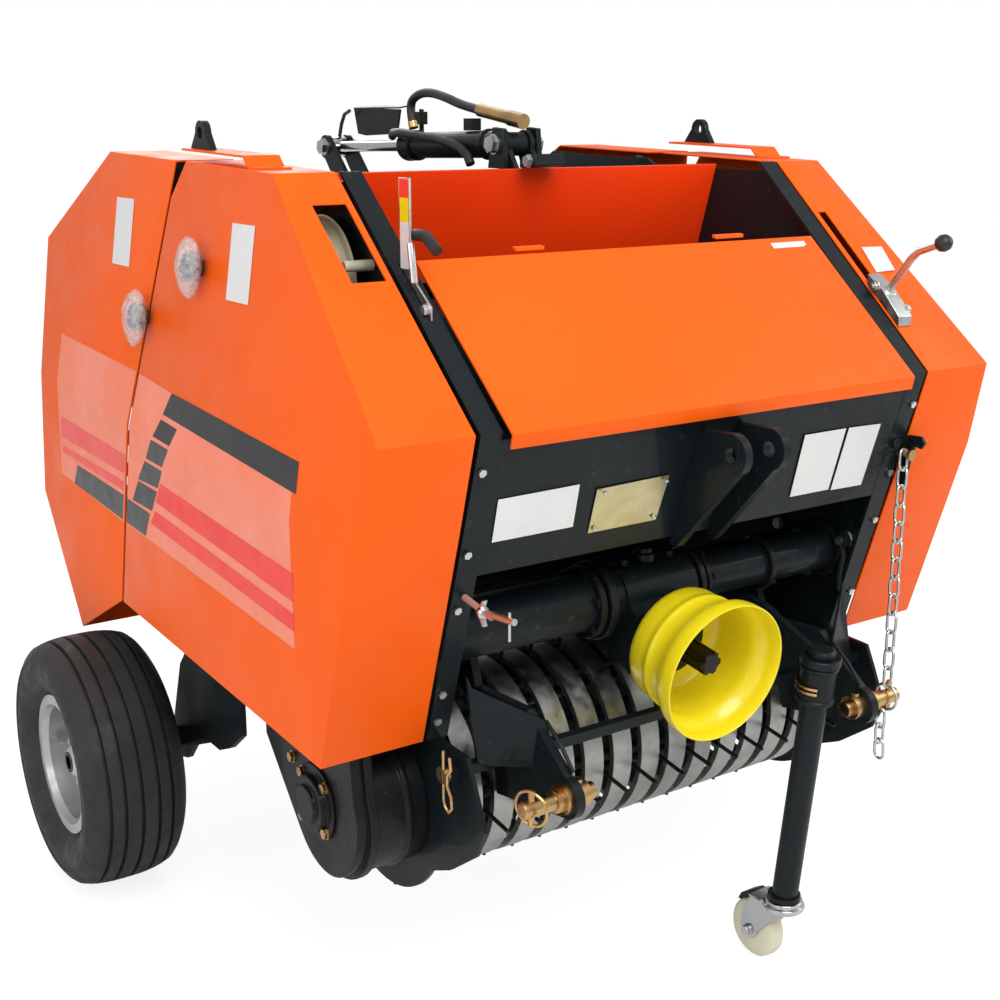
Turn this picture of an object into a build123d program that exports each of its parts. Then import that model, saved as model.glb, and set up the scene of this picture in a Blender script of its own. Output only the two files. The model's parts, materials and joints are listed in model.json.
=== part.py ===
from build123d import *
import os
from math import atan2, cos, degrees, hypot, radians, sin, tan

# Mini round baler for a small tractor: a fixed roller chamber between two side plates, a rear gate
# that swings up on a hinge at the roof, a tined pick-up below the front, and a three-point hitch.
# X runs across the machine, -Y is the front where the tractor stands, +Z is up and the floor is Z = 0.
# All sizes are in millimetres. An outline is a list of (y, z) points seen from the right side.

os.makedirs("parts", exist_ok=True)

# Sheet and plate thicknesses
cover_sheet = 3.0
liner_sheet = 3.0
side_plate = 6.0
hitch_plate = 12.0
seat_gap = 0.3
running_gap = 0.1

# Widths, as half widths from the middle plane
chamber_half = 350.0
cover_gap = 20.0
cover_width = 144.0
lean_inset = 58.0
flange_inner_half = chamber_half - 10.0
flange_outer_half = chamber_half + 20.0
cover_inner_half = chamber_half + side_plate + cover_gap
cover_side_half = cover_inner_half + cover_width
cover_roof_half = cover_side_half - lean_inset
hood_half = chamber_half - 16.0

# Side outline of the body
roof_front = (-242.0, 1163.0)
nose = (-557.0, 886.0)
kink = (-521.0, 761.0)
front_foot = (-432.0, 472.0)
seam_foot = (235.0, 497.0)
seam_roof = (58.0, 1166.0)
roof_rear = (314.0, 1178.0)
shoulder = (577.0, 1034.0)
rear_crease = (566.0, 811.0)
hip = (599.0, 599.0)
gate_foot = (445.0, 393.0)
seam_half_gap = 4.0

# Bale chamber: rollers on a ring, front ones in the frame and rear ones in the gate
chamber_y, chamber_z = 205.0, 760.0
roller_ring = 320.0
roller_radius = 40.0
roller_rib = 5.0
frame_roller_angles = (126.0, 150.0, 174.0, 198.0, 240.0, 262.0)
gate_roller_first = 104.0
gate_roller_step = -22.25
gate_roller_count = 9

# Gate hinge and its cylinder
gate_pivot = (75.0, 1150.0)
gate_pin_radius = 15.0
gate_plate_inner = chamber_half + 9.0
cylinder_front_pin = (-84.0, 1190.0)
cylinder_rear_pin = (463.0, 1177.0)
cylinder_pin_radius = 8.0
barrel_radius = 20.0
rod_radius = 9.0
barrel_length = 300.0

# Pick-up
pickup_y, pickup_z = -290.0, 362.0
band_radius = 138.0
band_sheet = 3.0
band_lip = 9.0
band_leg = 150.0
band_pitch = 50.0
band_width = 32.0
band_count = 13
tine_tip_radius = 184.0
tine_radius = 3.0
reel_bar_ring = 92.0

# Wheels
wheel_half_track = cover_side_half + 25.0
wheel_y = 335.0
tyre_radius = 205.0
tyre_width = 165.0
rim_radius = 115.0
hub_bore = 17.5

# Lower hitch, top link, cross drive and power shaft
hitch_arm_x = 258.0
hitch_pin = (-579.0, 424.0)
hitch_pin_radius = 11.0
top_link_x = 32.0
top_link_pin = (-606.0, 829.0)
top_link_radius = 10.0
top_link_ear = 27.0
drive_y, drive_z = -405.0, 598.0
drive_tube_left_radius = 39.0
drive_tube_right_radius = 31.0
shaft_tip = (-547.0, 530.0)
shaft_slope = 8.0
shaft_radius = 17.4
shield_mouth_radius = 98.0
shield_body_radius = 82.0

# Parking jack and caster
jack_x = 185.0
jack_top = (-566.0, 510.0)
jack_foot = (-523.0, 124.0)
jack_leg_radius = 19.0
jack_sleeve_radius = 25.0
caster_radius = 45.0
caster_width = 30.0
caster_trail = 50.0

# The model is drawn from the bale chamber's own zero and moved so that the origin is the footprint's middle
to_middle = Location((0, -(top_link_pin[0] - top_link_ear + hip[0]) / 2, 0))


def between(start, end, z):
    """Y of the line through two (y, z) points, at height z."""
    return start[0] + (end[0] - start[0]) * (z - start[1]) / (end[1] - start[1])


def height(start, end, y):
    """Z of the line through two (y, z) points, at length y."""
    return start[1] + (end[1] - start[1]) * (y - start[0]) / (end[0] - start[0])


def inset(points, depths):
    """Outline whose edges, taken anticlockwise, each move inward by their own depth."""
    edges = []
    for (y0, z0), (y1, z1), depth in zip(points, points[1:] + points[:1], depths):
        length = hypot(y1 - y0, z1 - z0)
        dy, dz = (y1 - y0) / length, (z1 - z0) / length
        edges.append((y0 - dz * depth, z0 + dy * depth, dy, dz))
    corners = []
    for (ay, az, ady, adz), (by, bz, bdy, bdz) in zip(edges[-1:] + edges[:-1], edges):
        along = ((by - ay) * bdz - (bz - az) * bdy) / (ady * bdz - adz * bdy)
        corners.append((ay + ady * along, az + adz * along))
    return corners


def seam(z, offset):
    """Point on the line where gate and frame meet, moved along Y by offset."""
    return (between(seam_foot, seam_roof, z) + offset, z)


def ring_point(angle):
    """Roller centre at an angle on the chamber's ring, 0 degrees at the rear and 90 on top."""
    return (chamber_y + roller_ring * cos(radians(angle)), chamber_z + roller_ring * sin(radians(angle)))


def across(half):
    """Sketch plane facing +X at a distance from the middle, with x as Y and y as Z."""
    return Plane.YZ.offset(half)


def lean_plane(sheet):
    """Plane of the side sheet above the crease, moved inward by a sheet thickness."""
    crease_front = Vector(cover_side_half, *kink)
    crease_rear = Vector(cover_side_half, *rear_crease)
    roof = Vector(cover_roof_half, *roof_front)
    along = (crease_rear - crease_front).normalized()
    out = along.cross(roof - crease_front).normalized()
    out = out if out.X > 0 else out * -1
    return Plane(origin=crease_front - out * sheet, x_dir=along, z_dir=out)


def lean_seat(y, z):
    """Sketch plane just off the right lean face, with its origin at a (y, z) point of that face."""
    face = lean_plane(0)
    out = face.z_dir
    x = face.origin.X - (out.Y * (y - face.origin.Y) + out.Z * (z - face.origin.Z)) / out.X
    return Plane(origin=Vector(x, y, z) + out * seat_gap, x_dir=face.x_dir, z_dir=out)


def folded_cover(points, open_edges):
    """Right side cover folded from one sheet, with its fold-over rim on all but the open edges."""
    overshoot = 40.0
    depths = [-overshoot if edge in open_edges else cover_sheet for edge in range(len(points))]
    with BuildPart() as hollow:
        with BuildSketch(across(cover_inner_half - overshoot)):
            Polygon(*inset(points, depths), align=None)
        extrude(amount=cover_side_half - cover_sheet - cover_inner_half + overshoot)
        split(bisect_by=lean_plane(cover_sheet), keep=Keep.BOTTOM)
    with BuildPart() as folded:
        with BuildSketch(across(cover_inner_half)):
            Polygon(*points, align=None)
        extrude(amount=cover_side_half - cover_inner_half)
        split(bisect_by=lean_plane(0), keep=Keep.BOTTOM)
        add(hollow.part, mode=Mode.SUBTRACT)
    return folded.part


def rib_roller(centre, half):
    """Chamber roller along X: a tube with flat ribs that grip the bale."""
    ribs = 6
    rib_width = 10.0
    with BuildPart() as roller:
        with BuildSketch(across(-half)):
            with Locations(centre):
                Circle(roller_radius - roller_rib)
                with PolarLocations(roller_radius - roller_rib, ribs):
                    Rectangle(2 * roller_rib, rib_width)
        extrude(amount=2 * half)
    return roller.part


# Front frame line, from roof to foot, used by the flange, the front panel and the lid
front_line = [roof_front, nose, front_foot]
flange_thick = 6.0


def front_strip(depth):
    """Outline of a strip that follows the frame's front from roof to foot."""
    inner = inset(front_line, [depth, depth, 0.0])
    far = between(nose, front_foot, front_foot[1]) + depth
    roof_end = (roof_front[0] + depth, roof_front[1])
    corner = inner[1]
    return [roof_front, nose, front_foot, (far, front_foot[1]), corner, roof_end]


# Square bar that ties the lower hitch arms and runs through both cheeks
tie_bar = (-480.0, 446.0)
tie_bar_size = 14.0

# Frame side plates with the front flange, the pick-up cheek and the stand-offs that carry the covers
plate_roof_z = 1150.0
plate_margin = 8.0
cheek_radius = 150.0
cheek_nose = [
    (-500.0, 470.0),
    (-515.0, 440.0),
    (-540.0, 385.0),
    (-520.0, 345.0),
    (-460.0, 300.0),
    (-400.0, 272.0),
    (-334.0, 250.0),
]
belly_z = 402.0
roller_pin_radius = 12.0
standoff_radius = 12.0
frame_standoffs = [(-400.0, 690.0), (-330.0, 540.0), (60.0, 560.0), (0.0, 740.0)]
plate_front = inset(front_line, [plate_margin, plate_margin, 0.0])
frame_plate_outline = [
    (between(roof_front, nose, plate_roof_z) + plate_margin, plate_roof_z),
    plate_front[1],
    (between(nose, front_foot, front_foot[1]) + plate_margin, front_foot[1]),
    *cheek_nose,
    (pickup_y + cheek_radius * 0.5, pickup_z - cheek_radius * 0.866),
    (pickup_y + 180.0, pickup_z - 69.0),
    (pickup_y + 218.0, pickup_z - 62.0),
    (pickup_y + 230.0, belly_z),
    seam(belly_z, -seam_half_gap),
    seam(plate_roof_z - 60.0, -seam_half_gap),
    (gate_pivot[0] + 30.0, gate_pivot[1] - 28.0),
    (gate_pivot[0] + 30.0, plate_roof_z + 12.0),
    (gate_pivot[0] - 40.0, plate_roof_z + 12.0),
    (gate_pivot[0] - 60.0, plate_roof_z),
]
with BuildPart() as frame_side:
    with BuildSketch(across(chamber_half)):
        Polygon(*frame_plate_outline, align=None)
        with Locations((pickup_y, pickup_z)):
            Circle(cheek_radius)
            Circle(hub_bore, mode=Mode.SUBTRACT)
    extrude(amount=side_plate)
    with BuildSketch(across(flange_inner_half)):
        Polygon(*front_strip(flange_thick), align=None)
    extrude(amount=flange_outer_half - flange_inner_half)
    with BuildSketch(across(chamber_half)):
        Polygon(*inset(front_strip(plate_margin + 4.0), [flange_thick / 2] * 6), align=None)
    extrude(amount=side_plate)
    with BuildSketch(across(chamber_half + side_plate)):
        with Locations(*frame_standoffs):
            Circle(standoff_radius)
    extrude(amount=cover_side_half - cover_sheet - chamber_half - side_plate)
    with BuildSketch(across(chamber_half + side_plate)):
        with Locations(gate_pivot):
            Circle(gate_pin_radius)
    extrude(amount=gate_plate_inner + side_plate + 6.0 - chamber_half - side_plate)
    with BuildSketch(across(chamber_half)):
        with Locations(tie_bar):
            Rectangle(tie_bar_size + 2 * seat_gap, tie_bar_size + 2 * seat_gap)
    extrude(amount=side_plate, mode=Mode.SUBTRACT)
for side, part in (("right", frame_side.part), ("left", mirror(frame_side.part, about=Plane.YZ))):
    part.label = f"frame_side_{side}"
    export_step(part.moved(to_middle), f"parts/frame_side_{side}.step")

# Front covers, folded sheet with a V cut at the roof that leaves room for the gate to turn
notch_depth = 45.0
notch_width = 30.0
front_cover_outline = [
    roof_front,
    nose,
    kink,
    front_foot,
    seam(seam_foot[1], -seam_half_gap),
    seam(seam_roof[1] - notch_depth, -seam_half_gap),
    (seam_roof[0] - seam_half_gap - notch_width, height(roof_front, roof_rear, seam_roof[0])),
]
front_cover = folded_cover(front_cover_outline, (3, 4, 5))
window_floor_z = 960.0
with BuildPart() as front_cover_left:
    add(mirror(front_cover, about=Plane.YZ))
    with BuildSketch(Plane.XY.offset(window_floor_z)):
        with Locations((-cover_inner_half - 32.0, -330.0)):
            Rectangle(46.0, 98.0)
    extrude(amount=250.0, mode=Mode.SUBTRACT)
front_cover_left.part.label = "front_cover_left"
export_step(front_cover_left.part.moved(to_middle), "parts/front_cover_left.step")
with BuildPart() as front_cover_right:
    add(front_cover)
    with BuildSketch(Plane.XY.offset(window_floor_z)):
        with Locations((cover_inner_half + 17.0, -376.0)):
            Rectangle(16.0, 110.0)
    extrude(amount=250.0, mode=Mode.SUBTRACT)
front_cover_right.part.label = "front_cover_right"
export_step(front_cover_right.part.moved(to_middle), "parts/front_cover_right.step")

# Gate covers, the rear half of the same folded shape
gate_cover_outline = [
    seam(height(roof_front, roof_rear, seam_roof[0]), seam_half_gap),
    seam(seam_foot[1], seam_half_gap),
    gate_foot,
    hip,
    rear_crease,
    shoulder,
    roof_rear,
]
gate_cover = folded_cover(gate_cover_outline, (0, 1))
for side, part in (("right", gate_cover), ("left", mirror(gate_cover, about=Plane.YZ))):
    part.label = f"gate_cover_{side}"
    export_step(part.moved(to_middle), f"parts/gate_cover_{side}.step")

# Gate side plates, hinged on the frame's pins
gate_margin = 10.0
gate_belly_z = 402.0
gate_plate_gap = 5.0
gate_standoffs = [(330.0, 520.0), (500.0, 640.0), (300.0, 740.0)]
gate_rim = inset(gate_cover_outline, [0.0, 0.0, gate_margin, gate_margin, gate_margin, gate_margin, gate_margin])
gate_plate_outline = [
    seam(plate_roof_z + 8.0, gate_plate_gap - 14.0),
    (gate_pivot[0] - 25.0, gate_pivot[1] - 20.0),
    seam(gate_pivot[1] - 60.0, gate_plate_gap),
    seam(gate_belly_z, gate_plate_gap),
    (gate_foot[0] - gate_margin, gate_belly_z),
    gate_rim[3],
    gate_rim[4],
    gate_rim[5],
    gate_rim[6],
]
with BuildPart() as gate_side:
    with BuildSketch(across(gate_plate_inner)):
        Polygon(*gate_plate_outline, align=None)
        with Locations(gate_pivot):
            Circle(gate_pin_radius + running_gap, mode=Mode.SUBTRACT)
    extrude(amount=side_plate)
    with BuildSketch(across(gate_plate_inner + side_plate)):
        with Locations(*gate_standoffs):
            Circle(standoff_radius)
    extrude(amount=cover_side_half - cover_sheet - gate_plate_inner - side_plate)
for side, part in (("right", gate_side.part), ("left", mirror(gate_side.part, about=Plane.YZ))):
    part.label = f"gate_side_{side}"
    export_step(part.moved(to_middle), f"parts/gate_side_{side}.step")

# Chamber rollers
with BuildPart() as frame_rollers:
    for angle in frame_roller_angles:
        add(rib_roller(ring_point(angle), chamber_half - seat_gap))
frame_rollers.part.label = "frame_rollers"
export_step(frame_rollers.part.moved(to_middle), "parts/frame_rollers.step")

gate_roller_angles = [gate_roller_first + gate_roller_step * index for index in range(gate_roller_count)]
with BuildPart() as gate_rollers:
    for angle in gate_roller_angles:
        add(rib_roller(ring_point(angle), gate_plate_inner - seat_gap))
gate_rollers.part.label = "gate_rollers"
export_step(gate_rollers.part.moved(to_middle), "parts/gate_rollers.step")

# Roof beam on the side plates, with the clevis that holds the front of the gate cylinder
beam_depth, beam_height = 25.0, 30.0
beam_y = cylinder_front_pin[0] - 13.0 - beam_depth
beam_z = plate_roof_z + 6.0 - beam_height
clevis_half = 16.0
clevis_plate = 8.0
clevis_radius = 20.0
with BuildPart() as roof_beam:
    with BuildSketch(Plane.XZ.offset(-beam_y)):
        with Locations((0, beam_z + beam_height / 2)):
            Rectangle(2 * (chamber_half - seat_gap), beam_height)
    extrude(amount=-beam_depth)
    with BuildSketch(across(clevis_half)):
        Polygon(
            (beam_y + beam_depth, beam_z),
            (cylinder_front_pin[0] + clevis_radius, cylinder_front_pin[1]),
            (cylinder_front_pin[0], cylinder_front_pin[1] + clevis_radius),
            (beam_y, beam_z + beam_height),
            align=None,
        )
        with Locations(cylinder_front_pin):
            Circle(clevis_radius)
    extrude(amount=clevis_plate)
    mirror(about=Plane.YZ)
    with BuildSketch(across(-clevis_half - clevis_plate - 6.0)):
        with Locations(cylinder_front_pin):
            Circle(cylinder_pin_radius)
    extrude(amount=2 * (clevis_half + clevis_plate + 6.0))
roof_beam.part.label = "roof_beam"
export_step(roof_beam.part.moved(to_middle), "parts/roof_beam.step")

# Gate beam between the gate plates, with the clevis for the rod's eye
gate_beam_y, gate_beam_z = 380.0, 1082.0
gate_beam_depth, gate_beam_height = 50.0, 40.0
with BuildPart() as gate_beam:
    with BuildSketch(Plane.XZ.offset(-gate_beam_y)):
        with Locations((0, gate_beam_z + gate_beam_height / 2)):
            Rectangle(2 * (gate_plate_inner - seat_gap), gate_beam_height)
    extrude(amount=-gate_beam_depth)
    with BuildSketch(across(clevis_half)):
        Polygon(
            (gate_beam_y, gate_beam_z + gate_beam_height),
            (gate_beam_y + gate_beam_depth, gate_beam_z + gate_beam_height - 4.0),
            (cylinder_rear_pin[0] + clevis_radius, cylinder_rear_pin[1]),
            (cylinder_rear_pin[0] - clevis_radius, cylinder_rear_pin[1] + 8.0),
            align=None,
        )
        with Locations(cylinder_rear_pin):
            Circle(clevis_radius)
    extrude(amount=clevis_plate)
    with BuildSketch(across(clevis_half)):
        with Locations(cylinder_rear_pin):
            Circle(cylinder_pin_radius)
    extrude(amount=clevis_plate + 6.0)
    mirror(about=Plane.YZ)
gate_beam.part.label = "gate_beam"
export_step(gate_beam.part.moved(to_middle), "parts/gate_beam.step")

# Gate cylinder: barrel on the roof beam, rod to the gate, shown with the rod out as when closed
pin_span_y = cylinder_rear_pin[0] - cylinder_front_pin[0]
pin_span_z = cylinder_rear_pin[1] - cylinder_front_pin[1]
pin_distance = hypot(pin_span_y, pin_span_z)
eye_radius = 17.0
eye_half = clevis_half - 2.0
neck_length = clevis_radius + 4.0
cylinder_axis = Plane(
    origin=(0, *cylinder_front_pin), x_dir=(1, 0, 0), z_dir=(0, pin_span_y, pin_span_z)
)
with BuildPart() as gate_cylinder_barrel:
    with BuildSketch(cylinder_axis.offset(eye_radius - 4.0)):
        Circle(eye_half - 2.0)
    extrude(amount=neck_length)
    with BuildSketch(cylinder_axis.offset(eye_radius - 4.0 + neck_length)):
        Circle(barrel_radius)
    extrude(amount=barrel_length - eye_radius + 4.0 - neck_length)
    with BuildSketch(cylinder_axis.offset(barrel_length - 30.0)):
        Circle(barrel_radius + 4.0)
    extrude(amount=30.0)
    with BuildSketch(across(-eye_half)):
        with Locations(cylinder_front_pin):
            Circle(eye_radius)
    extrude(amount=2 * eye_half)
    with BuildSketch(across(-eye_half)):
        with Locations(cylinder_front_pin):
            Circle(cylinder_pin_radius + running_gap)
    extrude(amount=2 * eye_half, mode=Mode.SUBTRACT)
    with BuildSketch(cylinder_axis.offset(barrel_length)):
        Circle(rod_radius + running_gap)
    extrude(amount=-(barrel_length - 60.0), mode=Mode.SUBTRACT)
gate_cylinder_barrel.part.label = "gate_cylinder_barrel"
export_step(gate_cylinder_barrel.part.moved(to_middle), "parts/gate_cylinder_barrel.step")

rod_inside = 110.0
with BuildPart() as gate_cylinder_rod:
    with BuildSketch(cylinder_axis.offset(barrel_length - rod_inside)):
        Circle(rod_radius)
    extrude(amount=pin_distance - barrel_length + rod_inside - eye_radius + 6.0)
    with BuildSketch(across(-eye_half)):
        with Locations(cylinder_rear_pin):
            Circle(eye_radius)
    extrude(amount=2 * eye_half)
gate_cylinder_rod.part.label = "gate_cylinder_rod"
export_step(gate_cylinder_rod.part.moved(to_middle), "parts/gate_cylinder_rod.step")

# Orange rear wall of the twine box, and the dark liner that closes the box below
wall_top = (beam_y - 13.0, 1157.0)
wall_foot = (-83.0, 985.0)
liner_floor_z = 790.0
liner_step = (-165.0, 960.0)
liner_rear_y = -195.0
panel_front_foot = (between(nose, front_foot, 702.0), 702.0)


def sheet_path(points, thick, half):
    """Bent sheet across the machine: the points joined as one strip, as wide as twice half."""
    with BuildPart() as sheet:
        with BuildSketch(across(-half)):
            with BuildLine():
                Polyline(*points)
            trace(line_width=thick)
        extrude(amount=2 * half)
    return sheet.part


wall_half = chamber_half - seat_gap
with BuildPart() as twine_box_wall:
    add(sheet_path([wall_top, wall_foot], liner_sheet, wall_half))
twine_box_wall.part.label = "twine_box_wall"
export_step(twine_box_wall.part.moved(to_middle), "parts/twine_box_wall.step")

liner_front = (between(nose, front_foot, liner_floor_z) + 8.0, liner_floor_z)
with BuildPart() as twine_box_liner:
    add(
        sheet_path(
            [
                (wall_foot[0] - 1.0, wall_foot[1] - 5.0),
                liner_step,
                (liner_rear_y, liner_floor_z),
                liner_front,
            ],
            liner_sheet,
            wall_half,
        )
    )
twine_box_liner.part.label = "twine_box_liner"
export_step(twine_box_liner.part.moved(to_middle), "parts/twine_box_liner.step")

# Front panel below the lid, in the plane of the frame's front edge
panel_top = (between(nose, front_foot, nose[1] - 10.0) + 2.0, nose[1] - 10.0)
with BuildPart() as front_panel:
    add(sheet_path([panel_top, (panel_front_foot[0] + 2.0, panel_front_foot[1])], liner_sheet, flange_inner_half))
front_panel.part.label = "front_panel"
export_step(front_panel.part.moved(to_middle), "parts/front_panel.step")

# Lid of the twine box, hinged along its upper edge
hood_top = (between(roof_front, nose, 1060.0), 1060.0)
hood_nose = (nose[0] - 10.0, nose[1] - 2.0)
hood_lip = (hood_nose[0] + 4.0, hood_nose[1] - 17.0)
hinge_drop = 10.0
lid_hinge = (hood_top[0] + 8.0, hood_top[1] - hinge_drop)
hinge_pin_radius = 4.0
hinge_x = 180.0
lug_thick = 8.0
with BuildPart() as twine_box_lid:
    add(sheet_path([hood_top, hood_nose, hood_lip], cover_sheet, hood_half))
    for x in (-hinge_x, hinge_x):
        with BuildSketch(across(x)):
            Polygon(
                (hood_top[0] - 22.0, height(hood_top, hood_nose, hood_top[0] - 22.0)),
                (lid_hinge[0] - 2.0, lid_hinge[1] - 8.0),
                (lid_hinge[0] + 8.0, lid_hinge[1]),
                hood_top,
                align=None,
            )
            with Locations(lid_hinge):
                Circle(8.0)
                Circle(hinge_pin_radius + running_gap, mode=Mode.SUBTRACT)
        extrude(amount=lug_thick)
twine_box_lid.part.label = "twine_box_lid"
export_step(twine_box_lid.part.moved(to_middle), "parts/twine_box_lid.step")

# Cross rail under the lid's upper edge, with the hinge pins
rail_size = 20.0
rail_z = lid_hinge[1] - 26.0
with BuildPart() as lid_rail:
    with BuildSketch(across(-chamber_half + seat_gap)):
        with Locations((lid_hinge[0], rail_z)):
            Rectangle(rail_size, rail_size)
    extrude(amount=2 * (chamber_half - seat_gap))
    for x in (-hinge_x, hinge_x):
        with BuildSketch(across(x + lug_thick + 1.0)):
            with Locations((lid_hinge[0], (lid_hinge[1] + rail_z) / 2)):
                Rectangle(14.0, lid_hinge[1] - rail_z)
            with Locations(lid_hinge):
                Circle(7.0)
        extrude(amount=lug_thick)
        with BuildSketch(across(x - 2.0)):
            with Locations(lid_hinge):
                Circle(hinge_pin_radius)
        extrude(amount=lug_thick + 5.0)
lid_rail.part.label = "lid_rail"
export_step(lid_rail.part.moved(to_middle), "parts/lid_rail.step")

# Top link bracket: two plates on the front panel
bracket_thick = 12.0
bracket_foot_z = 690.0
bracket_top_z = 852.0
bracket_root = (between(nose, front_foot, bracket_foot_z), bracket_foot_z)
with BuildPart() as top_link_bracket:
    with BuildSketch(across(top_link_x - bracket_thick / 2)):
        Polygon(
            (between(nose, front_foot, bracket_top_z), bracket_top_z),
            (top_link_pin[0] - 4.0, top_link_pin[1] + top_link_ear),
            (top_link_pin[0] - 26.0, top_link_pin[1] - 8.0),
            (bracket_root[0] - 14.0, bracket_root[1]),
            bracket_root,
            align=None,
        )
        with Locations(top_link_pin):
            Circle(top_link_ear)
            Circle(top_link_radius, mode=Mode.SUBTRACT)
    extrude(amount=bracket_thick)
    mirror(about=Plane.YZ)
top_link_bracket.part.label = "top_link_bracket"
export_step(top_link_bracket.part.moved(to_middle), "parts/top_link_bracket.step")

# Lower front beam between the side plates
lower_beam_y, lower_beam_z = -360.0, 556.0
lower_beam_depth, lower_beam_height = 60.0, 44.0
with BuildPart() as lower_beam:
    with BuildSketch(across(-chamber_half + seat_gap)):
        with Locations((lower_beam_y + lower_beam_depth / 2, lower_beam_z + lower_beam_height / 2)):
            Rectangle(lower_beam_depth, lower_beam_height)
    extrude(amount=2 * (chamber_half - seat_gap))
lower_beam.part.label = "lower_beam"
export_step(lower_beam.part.moved(to_middle), "parts/lower_beam.step")

# Lower hitch arms under the beam, each with its pin, and the tie bar through them
arm_outline = [
    (lower_beam_y + lower_beam_depth, lower_beam_z),
    (lower_beam_y - 2.0, lower_beam_z),
    (lower_beam_y - 20.0, 503.0),
    (-498.0, 511.0),
    (hitch_pin[0] + 4.0, hitch_pin[1] + 31.0),
    (hitch_pin[0] - 26.0, hitch_pin[1] + 8.0),
    (hitch_pin[0] - 4.0, hitch_pin[1] - 26.0),
    (-430.0, 370.0),
    (lower_beam_y + lower_beam_depth, 480.0),
]
with BuildPart() as hitch_arms:
    with BuildSketch(across(hitch_arm_x - hitch_plate / 2)):
        Polygon(*arm_outline, align=None)
        with Locations(hitch_pin):
            Circle(27.0)
        with Locations((pickup_y, pickup_z)):
            Circle(band_radius + 3.0, mode=Mode.SUBTRACT)
        with Locations(tie_bar):
            Rectangle(tie_bar_size + 2 * seat_gap, tie_bar_size + 2 * seat_gap, mode=Mode.SUBTRACT)
        with Locations(hitch_pin):
            Circle(hitch_pin_radius + seat_gap, mode=Mode.SUBTRACT)
    extrude(amount=hitch_plate)
    mirror(about=Plane.YZ)
hitch_arms.part.label = "hitch_arms"
export_step(hitch_arms.part.moved(to_middle), "parts/hitch_arms.step")

pin_out = 68.0
pin_in = 36.0
with BuildPart() as hitch_pins:
    with BuildSketch(across(hitch_arm_x - pin_in)):
        with Locations(hitch_pin):
            Circle(hitch_pin_radius)
    extrude(amount=pin_in + pin_out)
    for start, thick, radius in ((-hitch_plate / 2 - 18.0, 17.5, 17.0), (hitch_plate / 2 + 0.5, 8.0, 20.0)):
        with BuildSketch(across(hitch_arm_x + start)):
            with Locations(hitch_pin):
                Circle(radius)
        extrude(amount=thick)
    mirror(about=Plane.YZ)
hitch_pins.part.label = "hitch_pins"
export_step(hitch_pins.part.moved(to_middle), "parts/hitch_pins.step")

with BuildPart() as hitch_tie_bar:
    with BuildSketch(across(-flange_outer_half)):
        with Locations(tie_bar):
            Rectangle(tie_bar_size, tie_bar_size)
    extrude(amount=2 * flange_outer_half)
hitch_tie_bar.part.label = "hitch_tie_bar"
export_step(hitch_tie_bar.part.moved(to_middle), "parts/hitch_tie_bar.step")

# Cross drive: gearbox in the middle and a tube to each side plate
gearbox_half = 62.0
input_axis = Vector(0, -cos(radians(shaft_slope)), -sin(radians(shaft_slope)))
gearbox_face_y = drive_y - 52.0
shaft_run = (shaft_tip[0] - gearbox_face_y) / input_axis.Y
gearbox_face = Vector(0, *shaft_tip) - input_axis * shaft_run
shaft_plane = Plane(origin=gearbox_face, x_dir=(1, 0, 0), z_dir=input_axis)
boss_length = 20.0
with BuildPart() as gearbox:
    with BuildSketch(across(-gearbox_half)):
        with Locations((drive_y, drive_z)):
            Circle(42.0)
        Polygon(
            (drive_y - 41.0, drive_z),
            (gearbox_face.Y - 44.0 * sin(radians(shaft_slope)), gearbox_face.Z + 44.0),
            (gearbox_face.Y + 44.0 * sin(radians(shaft_slope)), gearbox_face.Z - 44.0),
            (drive_y + 10.0, drive_z - 62.0),
            (drive_y + 30.0, drive_z - 30.0),
            align=None,
        )
    extrude(amount=2 * gearbox_half)
    with BuildSketch(shaft_plane.offset(-12.0)):
        Circle(46.0)
    extrude(amount=12.0 + boss_length)
    with BuildSketch(shaft_plane.offset(boss_length)):
        Circle(shaft_radius + running_gap)
    extrude(amount=-boss_length - 30.0, mode=Mode.SUBTRACT)
gearbox.part.label = "gearbox"
export_step(gearbox.part.moved(to_middle), "parts/gearbox.step")

with BuildPart() as drive_tubes:
    for start, end, radius in (
        (-chamber_half + seat_gap, -gearbox_half - seat_gap, drive_tube_left_radius),
        (gearbox_half + seat_gap, chamber_half - seat_gap, drive_tube_right_radius),
    ):
        with BuildSketch(across(start)):
            with Locations((drive_y, drive_z)):
                Circle(radius)
        extrude(amount=end - start)
drive_tubes.part.label = "drive_tubes"
export_step(drive_tubes.part.moved(to_middle), "parts/drive_tubes.step")

shaft_length = shaft_run + 25.0
with BuildPart() as pto_shaft:
    with BuildSketch(shaft_plane.offset(-25.0)):
        Circle(shaft_radius)
    extrude(amount=shaft_length)
pto_shaft.part.label = "pto_shaft"
export_step(pto_shaft.part.moved(to_middle), "parts/pto_shaft.step")

shield_sheet = 3.5
shield_start = 9.0
shield_length = 120.0
shield_mouth_length = 38.0
with BuildPart() as pto_shield:
    with BuildSketch(Plane(origin=gearbox_face, x_dir=(0, input_axis.Z, -input_axis.Y), z_dir=(1, 0, 0))):
        with BuildLine():
            Polyline(
                (46.0 + seat_gap, shield_start),
                (46.0 + seat_gap, shield_start + shield_sheet),
                (shield_body_radius - shield_sheet, shield_start + shield_sheet),
                (shield_body_radius - shield_sheet + 2.0, shield_length - shield_mouth_length),
                (shield_mouth_radius - shield_sheet, shield_length - shield_mouth_length + 12.0),
                (shield_mouth_radius - shield_sheet, shield_length),
                (shield_mouth_radius, shield_length),
                (shield_mouth_radius, shield_length - shield_mouth_length + 10.0),
                (shield_body_radius + 2.0, shield_length - shield_mouth_length - 2.0),
                (shield_body_radius, shield_start),
                close=True,
            )
        make_face()
    revolve(axis=Axis(gearbox_face, input_axis))
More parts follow.
